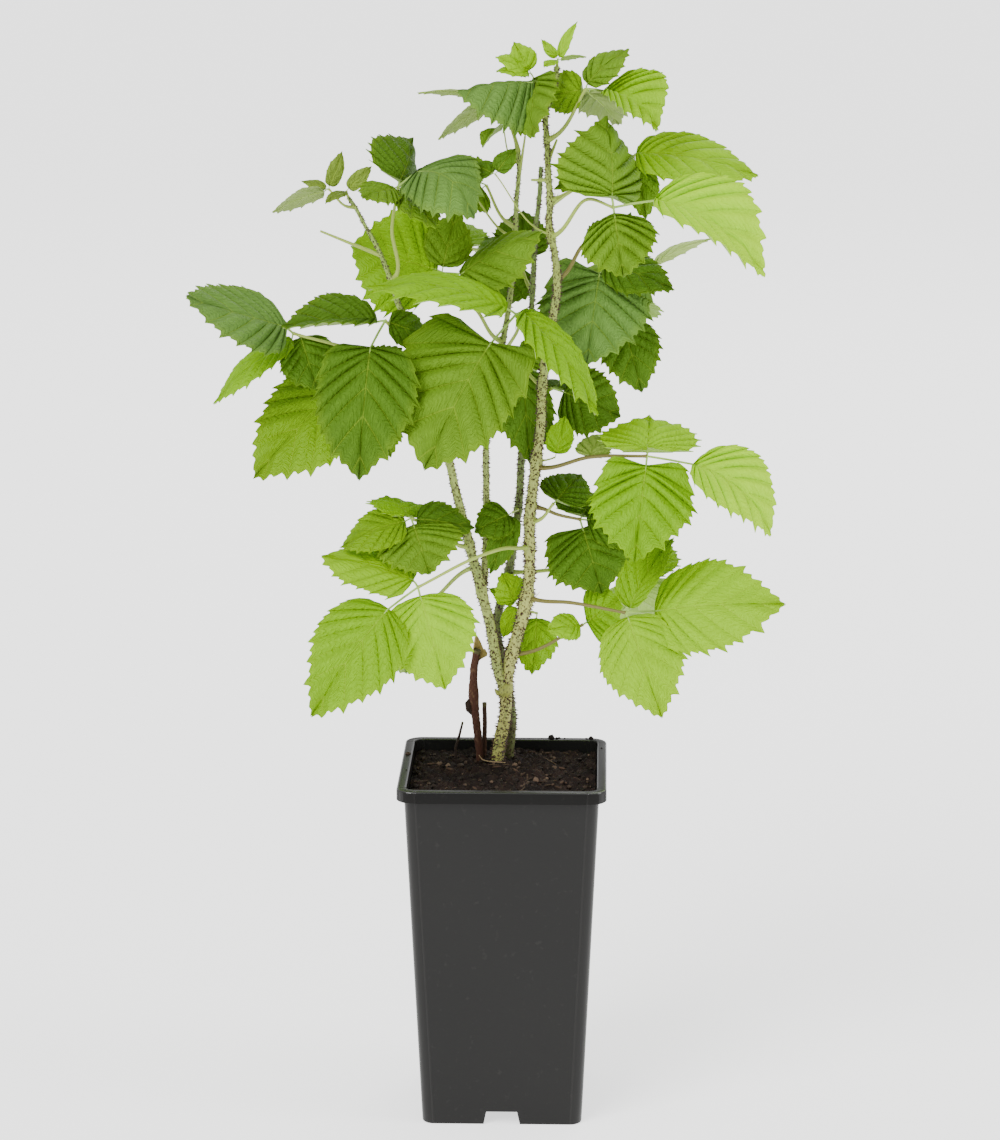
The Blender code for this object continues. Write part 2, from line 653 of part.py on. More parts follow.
def make_pot():
    """A tapered square shell with a turned-down rim, and channels with drain holes under its floor."""
    rim_low = POT_HEIGHT - RIM_TALL
    skirt = RIM_HALF - RIM_SKIRT
    groove_top = POT_HEIGHT - POT_WALL
    profile = (
        (POT_HALF_BASE - POT_FOOT_ROUND, POT_CORNER - POT_FOOT_ROUND, 0),
        (POT_HALF_BASE, POT_CORNER, POT_FOOT_ROUND),
        *((pot_half(hoop), POT_CORNER, hoop) for hoop in POT_HOOPS),
        (pot_half(groove_top), POT_CORNER, groove_top),
        (skirt, SKIRT_CORNER, groove_top),
        (skirt, SKIRT_CORNER, rim_low),
        (RIM_HALF, RIM_CORNER, rim_low),
        (RIM_HALF, RIM_CORNER, POT_HEIGHT - RIM_ROUND),
        (RIM_HALF - RIM_ROUND, RIM_CORNER - RIM_ROUND / 2, POT_HEIGHT),
    )
    loops = [rounded_square(half, corner, z, POT_CORNER_POINTS) for half, corner, z in profile]
    pot = add_solid("pot", *loft(loops))
    cavity = add_solid("cavity", *loft(cavity_loops(0, POT_WALL, POT_HEIGHT + OVER, POT_CORNER_POINTS)))
    combine(cavity, cross_bars("ridge", POT_WALL, CHANNEL_TALL + POT_WALL), "DIFFERENCE")
    drains = [add_solid(f"drain_{i}", *drain) for i, drain in enumerate(drain_holes())]
    channels = cross_bars("channel", 0, CHANNEL_TALL)
    combine(pot, [cavity], "DIFFERENCE")
    combine(pot, channels, "DIFFERENCE")
    combine(pot, drains, "DIFFERENCE")
    finish(pot, (0.05, 0.05, 0.047), 0.45, SMOOTH_ANGLE)


def cavity_loops(shrink, low, high, per_corner):
    """The inside of the pot from one height to another, drawn in all round by shrink."""
    loops = []
    for height in (low, high):
        half = pot_half(height) - POT_WALL - shrink
        loops.append(rounded_square(half, POT_CORNER - POT_WALL - shrink, height, per_corner))
    return loops


def drain_holes():
    """Upright round cutters through the roofs of the channels, one in the middle and one on each arm."""
    for x, y in ((0, 0), (DRAIN_OFFSET, 0), (-DRAIN_OFFSET, 0), (0, DRAIN_OFFSET), (0, -DRAIN_OFFSET)):
        path = np.array([(x, y, CHANNEL_TALL - OVER), (x, y, CHANNEL_TALL + POT_WALL + OVER)])
        yield tube(path, (DRAIN_RADIUS, DRAIN_RADIUS), DRAIN_SIDES)


def soil_height(x, y, chance):
    """The crumbly top: level at the wall, heaped round the canes, with a small random lift."""
    away = np.hypot(x - SOIL_MOUND_CENTRE[0], y - SOIL_MOUND_CENTRE[1])
    heap = np.clip(1 - away / SOIL_MOUND_REACH, 0, 1)
    return SOIL_EDGE + SOIL_MOUND * heap**1.5 * (1.6 - 0.6 * heap) + SOIL_CRUMB * (chance - 0.5)


def make_soil(roots):
    """Compost that fills the pot, with a plain hole for each stem."""
    chance = np.random.default_rng(SEED)
    loops = cavity_loops(FIT, POT_WALL + FIT, SOIL_EDGE - 1, SOIL_CORNER_POINTS)
    rim = loops[-1]
    for share in SOIL_RINGS:
        ring = rim * (share, share, 1)
        ring[:, 2] = soil_height(ring[:, 0], ring[:, 1], chance.random(len(ring)))
        loops.append(ring)
    soil = add_solid("soil", *loft(loops))
    combine(soil, cross_bars("soil_ridge", POT_WALL + FIT, CHANNEL_TALL + POT_WALL + FIT), "DIFFERENCE")
    holes = []
    for foot, radius in roots:
        path = np.array([foot - (0, 0, ROOT_LENGTH + GAP), foot + (0, 0, HOLE_ABOVE)])
        holes.append(add_solid("hole", *tube(path, (radius + GAP, radius + GAP), CANE_SIDES + 2)))
    combine(soil, holes, "DIFFERENCE")
    finish(soil, (0.035, 0.02, 0.012), 0.95)


def cane_path(name, step):
    """Points up a cane in millimetres, with the radius at each."""
    cane = CANES[name]
    places = smooth(cane.course, step)
    heights, radii = zip(*cane.radii)
    return sight(places), np.interp(places[:, 1], heights, radii)


def spot_on(name, up):
    """The axis point, direction and radius of a cane where it passes the given height."""
    cane = CANES[name]
    places = smooth(cane.course, 1)
    i = int(np.argmin(np.abs(places[:, 1] - up)))
    path = sight(places)
    way = unit(path[min(i + 2, len(path) - 1)] - path[max(i - 2, 0)])
    heights, radii = zip(*cane.radii)
    return path[i], way, float(np.interp(up, heights, radii))


def stalk_start(leaf):
    """Where a leaf stalk springs from its cane, just clear of it, and the way it leaves."""
    centre, way, radius = spot_on(leaf.cane, leaf.at)
    if leaf.at >= CANES[leaf.cane].course[-1][1]:
        return centre + way * GAP, way
    first = sight(leaf.via[0] if leaf.via else leaf.hub)
    out = first - centre
    out = unit(out - way * np.dot(out, way))
    return centre + out * (radius + GAP), out


def prickled_tube(path, radii, bare, chance):
    """A cane: a tube with a three-sided prickle raised from two of its faces between each pair of rings.

    The faces near the bare places stay smooth.
    """
    rings = rings_along(path, radii, CANE_SIDES)
    points = list(np.concatenate(rings))
    faces = []
    for row in range(len(rings) - 1):
        low = row * CANE_SIDES
        thorny = ((5 * row) % CANE_SIDES, (5 * row + 3) % CANE_SIDES)
        for k in range(CANE_SIDES):
            after = (k + 1) % CANE_SIDES
            quad = (low + k, low + after, low + CANE_SIDES + after, low + CANE_SIDES + k)
            corners = np.array([points[i] for i in quad])
            middle = corners.mean(axis=0)
            out = unit(middle - (path[row] + path[row + 1]) / 2)
            if k in thorny and all(clear_of(middle, out, place, way) for place, way in bare):
                faces += prickle(points, quad, corners, out, chance)
            else:
                faces.append(quad)
    faces.append(tuple(reversed(range(CANE_SIDES))))
    faces.append(tuple(range(len(rings) * CANE_SIDES - CANE_SIDES, len(rings) * CANE_SIDES)))
    return points, faces


def clear_of(middle, out, place, way):
    """Whether a prickle there keeps away from a stalk that leaves the cane at place."""
    near = np.linalg.norm(middle - place) < PRICKLE_CLEAR
    return not near or (way is not None and np.dot(out, way) < -0.2)


def prickle(points, quad, corners, out, chance):
    """Raises a spike from one four-cornered face and returns the faces that take its place."""
    a, b, c, d = corners
    long = np.linalg.norm((d + c - a - b) / 2)
    half = PRICKLE_LONG / long
    along = 0.5 + 0.35 * (chance.random() - 0.5)

    def spot(across, up):
        return (a * (1 - across) + b * across) * (1 - up) + (d * (1 - across) + c * across) * up

    foot = (spot(0.26, along - half), spot(0.74, along - half), spot(0.5, along + half))
    droop = unit((a + b) - (c + d)) * 0.25
    tip = np.mean(foot, axis=0) + (out + droop) * PRICKLE_TALL * (0.8 + 0.4 * chance.random())
    p = len(points)
    points += [*foot, tip]
    q, s, k = p + 1, p + 2, p + 3
    a, b, c, d = quad
    ground = [(a, b, q), (a, q, p), (b, c, q), (c, s, q), (c, d, s), (d, p, s), (d, a, p)]
    return ground + [(p, q, k), (q, s, k), (s, p, k)]


def rooted(path, radii):
    """The same path with a straight upright length below it, down into the soil."""
    foot = path[0] - (0, 0, ROOT_LENGTH)
    return np.vstack([foot, path]), np.concatenate([radii[:1], radii])


def stalk_places(cane):
    """The places on a cane that stay free of prickles, each with the way a stalk leaves it."""
    places = [(spot_on(name, up)[0], None) for name, up in FORKS]
    places += [stalk_start(leaf) for leaf in LEAVES.values() if leaf.cane == cane]
    places += [(spot_on(name, up)[0], None) for name, up, _, _ in SPURS if name == cane]
    return places


def make_green_cane(name, chance, has_root):
    path, radii = cane_path(name, CANE_STEP)
    bare = stalk_places(name)
    if has_root:
        bare.append((path[0], None))
        path, radii = rooted(path, radii)
        bare.append(((path[0] + path[1]) / 2, None))
    return add_solid(name, *prickled_tube(path, radii, bare, chance))


def make_spur(cane, up, end, radius):
    start, _, _ = spot_on(cane, up)
    return add_solid("spur", *tube(np.array([start, sight(end)]), (radius, radius * 0.8), STALK_SIDES))


def make_canes():
    """The front cane with the two that branch from it, in one piece, and the cane behind them."""
    chance = np.random.default_rng(SEED)
    fork = make_green_cane("main", chance, True)
    fork.name = "canes_forked"
    branches = [make_green_cane(name, chance, False) for name in ("left", "middle")]
    combine(fork, branches + [make_spur(*spur) for spur in SPURS], "UNION")
    finish(fork, (0.30, 0.36, 0.14), 0.6, SMOOTH_ANGLE)
    back = make_green_cane("back", chance, True)
    back.name = "cane_back"
    finish(back, (0.24, 0.30, 0.10), 0.6, SMOOTH_ANGLE)


def make_dead_wood():
    """The brown remains of older canes, without prickles."""
    for name, full, colour in (
        ("old", "cane_old", (0.17, 0.075, 0.03)),
        ("stub", "cane_stub", (0.10, 0.045, 0.02)),
        ("twig", "twig_dry", (0.05, 0.03, 0.02)),
    ):
        path, radii = rooted(*cane_path(name, DEAD_STEP))
        finish(add_solid(full, *tube(path, radii, CANE_SIDES)), colour, 0.85, SMOOTH_ANGLE)


def leaf_edge(share, heart):
    """Where the outline is at a share of the way from base to tip: along the leaflet, and out from it."""
    out = np.sin(np.pi * share**0.76) ** (0.72 + 0.6 * share**3)
    return share**1.15 - heart * np.sin(np.pi * min(share / 0.3, 1)), out


def half_outline(veins, heart):
    """Teeth at the vein ends and notches between them, for one side, as (along, out, is_tooth)."""
    outline = []
    for i in range(veins):
        along, out = leaf_edge((i + 0.5) / veins, heart)
        reach = 0.14 * (1 - 0.5 * i / veins)
        outline.append((along + 0.035, out + reach, True))
        if i < veins - 1:
            along, out = leaf_edge((i + 1) / veins, heart)
            outline.append((along, out, False))
    return outline


def make_blade(name, part, hub):
    """A leaflet: a thin solid, pleated between its veins, on a narrow strip that runs from the hub.

    A leaflet beyond the limit of that strip grows straight from the stalk it lies on.

    A point (along, out) lies at base + axis * along * length + face * arch * length * 4 along (1 - along),
    and then out * half width to the side, tilted by the fold.
    """
    tip = sight(part.tip)
    start = sight(hub)
    base = sight(part.base) if part.base else start + unit(tip - start) * (part.width * BASE_SHARE + 1)
    length = np.linalg.norm(tip - base)
    axis = unit(tip - base)
    if np.linalg.norm(base - start) > STRIP_LIMIT:
        start = base - axis * STALK_BITE
    face = np.asarray(part.facing, float)
    face = unit(face - axis * np.dot(face, axis))
    side = np.cross(face, axis)
    tilt = np.radians(part.fold)
    veins = next(count for width, count in VEINS if part.width >= width)

    def at(along, out, lift=0.0):
        spine = base + axis * length * along + face * part.arch * length * 4 * along * (1 - along)
        aside = side * np.sign(out) * np.cos(tilt) + face * np.sin(tilt) * (out != 0)
        return spine + aside * abs(out) * part.width / 2 + face * lift

    strip = STRIP_HALF * min(1, part.width / 20) * 2 / part.width
    spine = [at(SPINE_END * ((i + 0.5) / veins) ** 2, 0) for i in range(veins)]
    outline = half_outline(veins, part.heart)
    pleat = min(PLEAT_MOST, part.width * PLEAT_SHARE)
    middle = [at(0, 0), *spine, tip]
    neck = 0.3 * min(0, outline[0][0])
    edges = []
    for hand in (1, -1):
        edge = [start + side * hand * strip * part.width / 2, at(neck, hand * strip)]
        edge += [at(along, hand * out, 0 if tooth else pleat) for along, out, tooth in outline]
        edges.append(edge)
    return add_solid(name, *thicken(*blade_faces(middle, *edges, veins), face))


def blade_faces(middle, left, right, veins):
    """Points, the triangles of the upper face, and the loop of the border."""
    points = [*middle, *left, *right]
    tip = veins + 1
    first_left = len(middle)
    first_right = first_left + len(left)
    faces = [(0, first_left, first_right)]
    for first, flip in ((first_left, False), (first_right, True)):
        root, base = first, first + 1
        half = [(root, base, 0), (0, base, base + 1), (0, base + 1, 1)]
        for i in range(1, veins):
            tooth, notch = base + 2 * i - 1, base + 2 * i
            half += [(i, tooth, notch), (i, notch, i + 1), (i + 1, notch, notch + 1)]
        half.append((veins, base + 2 * veins - 1, tip))
        faces += [face if flip else face[::-1] for face in half]
    border = [*range(first_left, first_right), tip, *reversed(range(first_right, len(points)))]
    return points, faces, border


def thicken(points, faces, border, face):
    """A closed solid of even thickness, split into the same triangles on both sides."""
    points = np.array(points)
    count = len(points)
    both = np.concatenate([points + face * BLADE_THICK / 2, points - face * BLADE_THICK / 2])
    under = [tuple(i + count for i in reversed(triangle)) for triangle in faces]
    wall = []
    for a, b in zip(border, border[1:] + border[:1]):
        wall.append((a, b, b + count))
        wall.append((a, b + count, a + count))
    return both, list(faces) + under + wall


def make_leaf(name, leaf):
    """A stalk from just off the cane to the hub, with the leaflets grown onto its end."""
    start, out = stalk_start(leaf)
    course = [start, *([sight(place) for place in leaf.via]), sight(leaf.hub)]
    reach = np.linalg.norm(course[1] - start)
    bend = unit(out + unit(course[1] - start)) * min(STALK_LEAD, reach * 0.4)
    course.insert(1, start + bend)
    path = smooth(course, STALK_STEP)
    path = np.vstack([path, path[-1] + unit(path[-1] - path[-2]) * KNUCKLE])
    radii = np.linspace(STALK_FOOT, STALK_END, len(path))
    radii[-2:] = KNUCKLE
    widest = max(part.width for part in leaf.blades)
    radii *= np.clip(widest / NARROW_LEAF, 0.6, 1)
    stalk = add_solid(name, *tube(path, radii, STALK_SIDES, out))
    blades = [make_blade(f"{name}_blade", part, leaf.hub) for part in leaf.blades]
    combine(stalk, blades, "UNION")
    keep_main_body(stalk)
    finish(stalk, GREENS[leaf.green], 0.55)


def stand_on_origin():
    """Moves everything so that the middle of the bottom of its bounding box is the origin."""
    corners = []
    for solid in bpy.context.scene.objects:
        points = np.empty(len(solid.data.vertices) * 3, np.float32)
        solid.data.vertices.foreach_get("co", points)
        points = points.reshape(-1, 3)
        corners += [points.min(axis=0), points.max(axis=0)]
    low = np.min(corners, axis=0)
    high = np.max(corners, axis=0)
    for solid in bpy.context.scene.objects:
        solid.location = (-(low[0] + high[0]) / 2, -(low[1] + high[1]) / 2, -low[2])


def main():
    for obj in list(bpy.data.objects):
        bpy.data.objects.remove(obj)
    make_pot()
    roots = []
    for name in ("main", "back", "old", "stub", "twig"):
        path, radii = cane_path(name, CANE_STEP)
        roots.append((path[0], radii[0]))
    make_soil(roots)
    make_canes()
    make_dead_wood()
    for name, leaf in LEAVES.items():
        make_leaf(name, leaf)
    stand_on_origin()


main()
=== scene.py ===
"""A young raspberry plant in a tall square pot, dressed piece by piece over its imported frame.

Sizes are in millimetres until a mesh is made. A place on the plant is given as (right, up, depth), as the plant
is seen from the front: right and up are measured in the upright plane through the pot's middle, and depth goes
back from that plane along the line of sight.
"""

import json
from collections import namedtuple

import bpy
import numpy as np
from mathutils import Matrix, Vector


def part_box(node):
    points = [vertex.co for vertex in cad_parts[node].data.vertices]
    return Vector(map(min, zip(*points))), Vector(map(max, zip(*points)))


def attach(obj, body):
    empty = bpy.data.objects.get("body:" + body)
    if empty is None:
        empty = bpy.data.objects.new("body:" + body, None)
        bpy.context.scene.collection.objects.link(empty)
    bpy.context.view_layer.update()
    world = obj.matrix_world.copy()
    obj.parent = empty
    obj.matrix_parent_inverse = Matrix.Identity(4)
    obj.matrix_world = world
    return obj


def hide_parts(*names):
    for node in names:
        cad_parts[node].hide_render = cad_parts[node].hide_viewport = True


MM = 0.001
SEED = 23

# The camera of the photograph, and its picture in pixels
EYE = np.array((56.1, -2099.2, 797.2))
PICTURE = (1000, 1140)
FOCAL_PIXELS = 3735.5
MIDDLE_PIXEL = 503.7
LOOKS_DOWN = 12.773
TURNED = 1.532

# The pot
POT_HEIGHT = 205.0
POT_HALF_BASE = 46.5
POT_HALF_TOP = 56.0
POT_WALL = 1.6
POT_CORNER = 7.0
RIM_HALF = 60.0
RIM_TALL = 7.0
RIM_SKIRT = 1.6
RIM_CORNER = 10.0
SKIRT_CORNER = 9.0
CHANNEL_HALF_TOP = 9.0
CHANNEL_HALF_FOOT = 10.8
CHANNEL_TALL = 8.0
DRAIN_RADIUS = 4.0
DRAIN_OFFSET = 26.0
CORNER_POINTS = 14
OVER = 3.0

# The soil
SOIL_EDGE = 197.6
SOIL_MOUND = 4.6
SOIL_MOUND_CENTRE = (-4.0, 24.0)
SOIL_MOUND_REACH = 44.0
SOIL_FIT = 0.4
SOIL_GRID = 150
CRUMBS = 620
CHIPS = 34
FIBRES = 12
# Crumbs that lie on the rim, and a pale root that arches over the compost
SPILT = ((27, 57.2), (30, 56.6), (31.5, 57.8), (35, 57), (48, 56.4), (50.5, 56.9), (-56.8, 20), (-56.2, -14), (57, 36))
ROOT = ((-14.5, 210.5, 20), (-12.5, 207.8, 17), (-8, 206.6, 14), (-2.5, 206.2, 13), (2, 205.6, 14))

# The canes
CANE_SIDES = 16
CANE_STEP = 2.2
KNOB = (0.03, 0.017, 0.012)
CUT_END = (0.085, 0.075, 0.03)

# The leaves
STALK_SIDES = 8
STALK_STEP = 2.5
STALK_FOOT = 1.15
STALK_END = 0.75
STALK_LEAD = 3.0
STRIP_LIMIT = 30.0
STALK_BITE = 1.5
NARROW_LEAF = 30.0
BASE_SHARE = 0.08
RIM_THICK = 0.28
# A leaflet at least this wide has this many side veins on each side, teeth to a vein, points to a tooth, and
# points from its midrib to its edge
FINENESS = ((45, 8, 2, 6, 9), (30, 7, 2, 5, 7), (16, 5, 2, 4, 6), (0, 4, 2, 3, 4))

# A cane: its course, and its radius at some of the heights on it
Cane = namedtuple("Cane", "course radii")
# A leaf: the cane and the height it grows from, the bends of its stalk, where its leaflets meet, its greens
Leaf = namedtuple("Leaf", "cane at via hub greens blades")
# A leaflet: its tip, width, the way its upper face looks, its base, how far it arches, how its halves
# tilt, how far the lobes at its base reach back, and how much wider than even its first half is
Blade = namedtuple("Blade", "tip width facing base arch fold heart skew")
# A patch of surface: points, faces in groups of one finish each, the place of its pattern, its place among the
# veins or along a stem, and its tint
Patch = namedtuple("Patch", "points groups lie vein tint")

# One letter for each leaflet of a leaf. h and b are partly the leaflet's own yellow-green and partly a painted
# glow of light shining through it from behind, h most, as a painted highlight; c is a mid green cooled by a
# painted bluish sheen of the sky
GREENS = {
    "h": (0.36, 0.66, 0.0),
    "b": (0.24, 0.47, 0.0),
    "l": (0.19, 0.40, 0.0),
    "g": (0.16, 0.35, 0.0),
    "n": (0.15, 0.30, 0.003),
    "m": (0.125, 0.25, 0.01),
    "c": (0.12, 0.24, 0.04),
    "d": (0.072, 0.16, 0.008),
    "p": (0.29, 0.42, 0.07),
    "y": (0.17, 0.26, 0.03),
}

CANES = {
    "main": Cane(
        (
            (-3.6, 209, 20), (-1.9, 220.8, 19), (0.2, 231.6, 18), (1.3, 241.9, 17), (1, 250.3, 16),
            (2.2, 257.5, 15), (4.8, 272.4, 13), (7.7, 282, 12), (11.7, 296.8, 10), (14.5, 311.6, 8),
            (14.9, 331.1, 6), (14.9, 350.6, 5), (16.2, 365.2, 4), (18.7, 385.1, 2), (21.1, 405.5, 0),
            (21.5, 420.6, -2), (22.4, 434.4, -3), (24.1, 447.1, -4), (26.9, 460.9, -5), (28.3, 470.1, -5),
            (30.2, 484.4, -5), (30.2, 490.6, -5), (29, 503.3, -4), (26.7, 514.6, -3), (25.5, 523.1, -2),
            (26.1, 531.6, -2), (24.9, 551.4, -1), (24.3, 567.7, 0), (23.4, 581.7, 0), (25.3, 591.2, 0),
            (28.7, 599.6, 1), (29.8, 610.2, 2),
        ),
        ((209, 3.6), (300, 3.3), (420, 2.5), (490, 2.0), (560, 1.7), (610, 1.2)),
    ),
    "left": Cane(
        (
            (0.2, 250.9, 15), (-2.7, 259.3, 14), (-5.3, 273.6, 12), (-7.9, 288.5, 10), (-11.4, 302.7, 8),
            (-14.8, 316.4, 6), (-17.6, 327, 5), (-20, 337, 4), (-23.9, 353.5, 3), (-27.4, 367, 2),
            (-30.2, 380, 1), (-32.4, 388.6, 1), (-34.6, 409, 0), (-38, 429.3, 0), (-43, 446.5, 0),
            (-49.2, 456.9, 0), (-55.5, 466.6, 0), (-60.5, 477, 0), (-62.7, 485, -1), (-67.1, 497.5, -2),
            (-70.4, 505.5, -3), (-74.9, 514, -3), (-78.8, 520.8, -4), (-83.2, 529.4, -4), (-87.7, 536.2, -4),
        ),
        ((250, 3.3), (367, 2.4), (446, 1.8), (505, 1.2), (536, 0.9)),
    ),
    "middle": Cane(
        (
            (-12.5, 308, 7), (-11.3, 315.2, 9), (-10.5, 330, 12), (-10.1, 356.5, 15), (-10.1, 374, 15),
            (-10.1, 395, 14), (-7.8, 414.8, 13), (-4.4, 435, 12), (-0.4, 455.2, 12), (2.4, 471.2, 12),
            (4.7, 489.5, 12), (5.8, 506.7, 12), (6.4, 516.9, 12), (7.2, 535.6, 12), (8.6, 552.5, 11),
            (8, 562.1, 10),
        ),
        ((308, 2.15), (562, 1.2)),
    ),
    "back": Cane(
        (
            (3.1, 212.3, 31), (4.8, 232.2, 30), (3.7, 243.7, 29), (0.8, 261.7, 27), (-3.3, 279.6, 25),
            (-3.9, 290.3, 24), (-1.6, 303.3, 23), (1.9, 316.4, 22), (4.2, 327, 21), (6.5, 341.7, 20),
            (8.8, 362.3, 19), (9.9, 385.1, 18), (11, 403.2, 18), (12.1, 420.6, 18), (13.2, 437.9, 18),
            (14.9, 456.3, 18), (16, 478.1, 18), (17.1, 501, 17), (17.7, 518.6, 16), (19.4, 529.9, 16),
            (21, 553.7, 15),
        ),
        ((212, 2.8), (385, 2.1), (554, 1.2)),
    ),
    "old": Cane(
        (
            (-14, 212.3, 24), (-14.9, 220.8, 24), (-16.7, 237.7, 23), (-17.5, 247.3, 22), (-17.2, 262.3, 20),
            (-15.5, 273.6, 19),
        ),
        ((212, 2.2), (236, 2.3), (247, 3.1), (256, 2.2), (274, 2.1)),
    ),
    "stub": Cane(((-11.2, 213.5, 29), (-10.9, 231.6, 29), (-11.2, 241.9, 29)), ((213, 1.4), (242, 1.2))),
    "twig": Cane(((-28, 215, 30), (-26, 222, 30), (-24, 230, 30)), ((215, 0.8), (230, 0.6))),
}

# Where a side cane leaves a cane, which swells there
FORKS = (("main", 251), ("left", 309))

# The swollen joint of the lowest fork and the bud beside it: the course of each, and its radius along it
FORK_LUMPS = (
    (((-0.2, 246.8, 15.5), (0.8, 249, 14.6), (1.8, 251.4, 14), (2.6, 253.6, 14)), (2.6, 3.9, 4.2, 4.0, 2.8)),
    (((-1.8, 246.8, 14.5), (-3.8, 248.4, 14), (-5.2, 250.4, 14)), (1.0, 1.7, 1.1, 0.3)),
)
FORK_TINT = (0.29, 0.31, 0.06)

# Bare stalks left where leaves dropped: the cane, its height there, the end, and the radius
SPURS = (
    ("main", 546, (15.4, 546.4, -3), 0.8),
    ("main", 531, (36.8, 539.1, -2), 0.7),
    ("main", 556, (29.9, 569.2, 3), 0.8),
    ("left", 503, (-103.9, 517.1, -4), 0.8),
    ("middle", 543.5, (12, 571, 8), 0.7),
)


def blade(tip, width, facing, base=None, arch=0.07, fold=-6, heart=0.05, skew=0.0):
    return Blade(tip, width, facing, base, arch, fold, heart, skew)


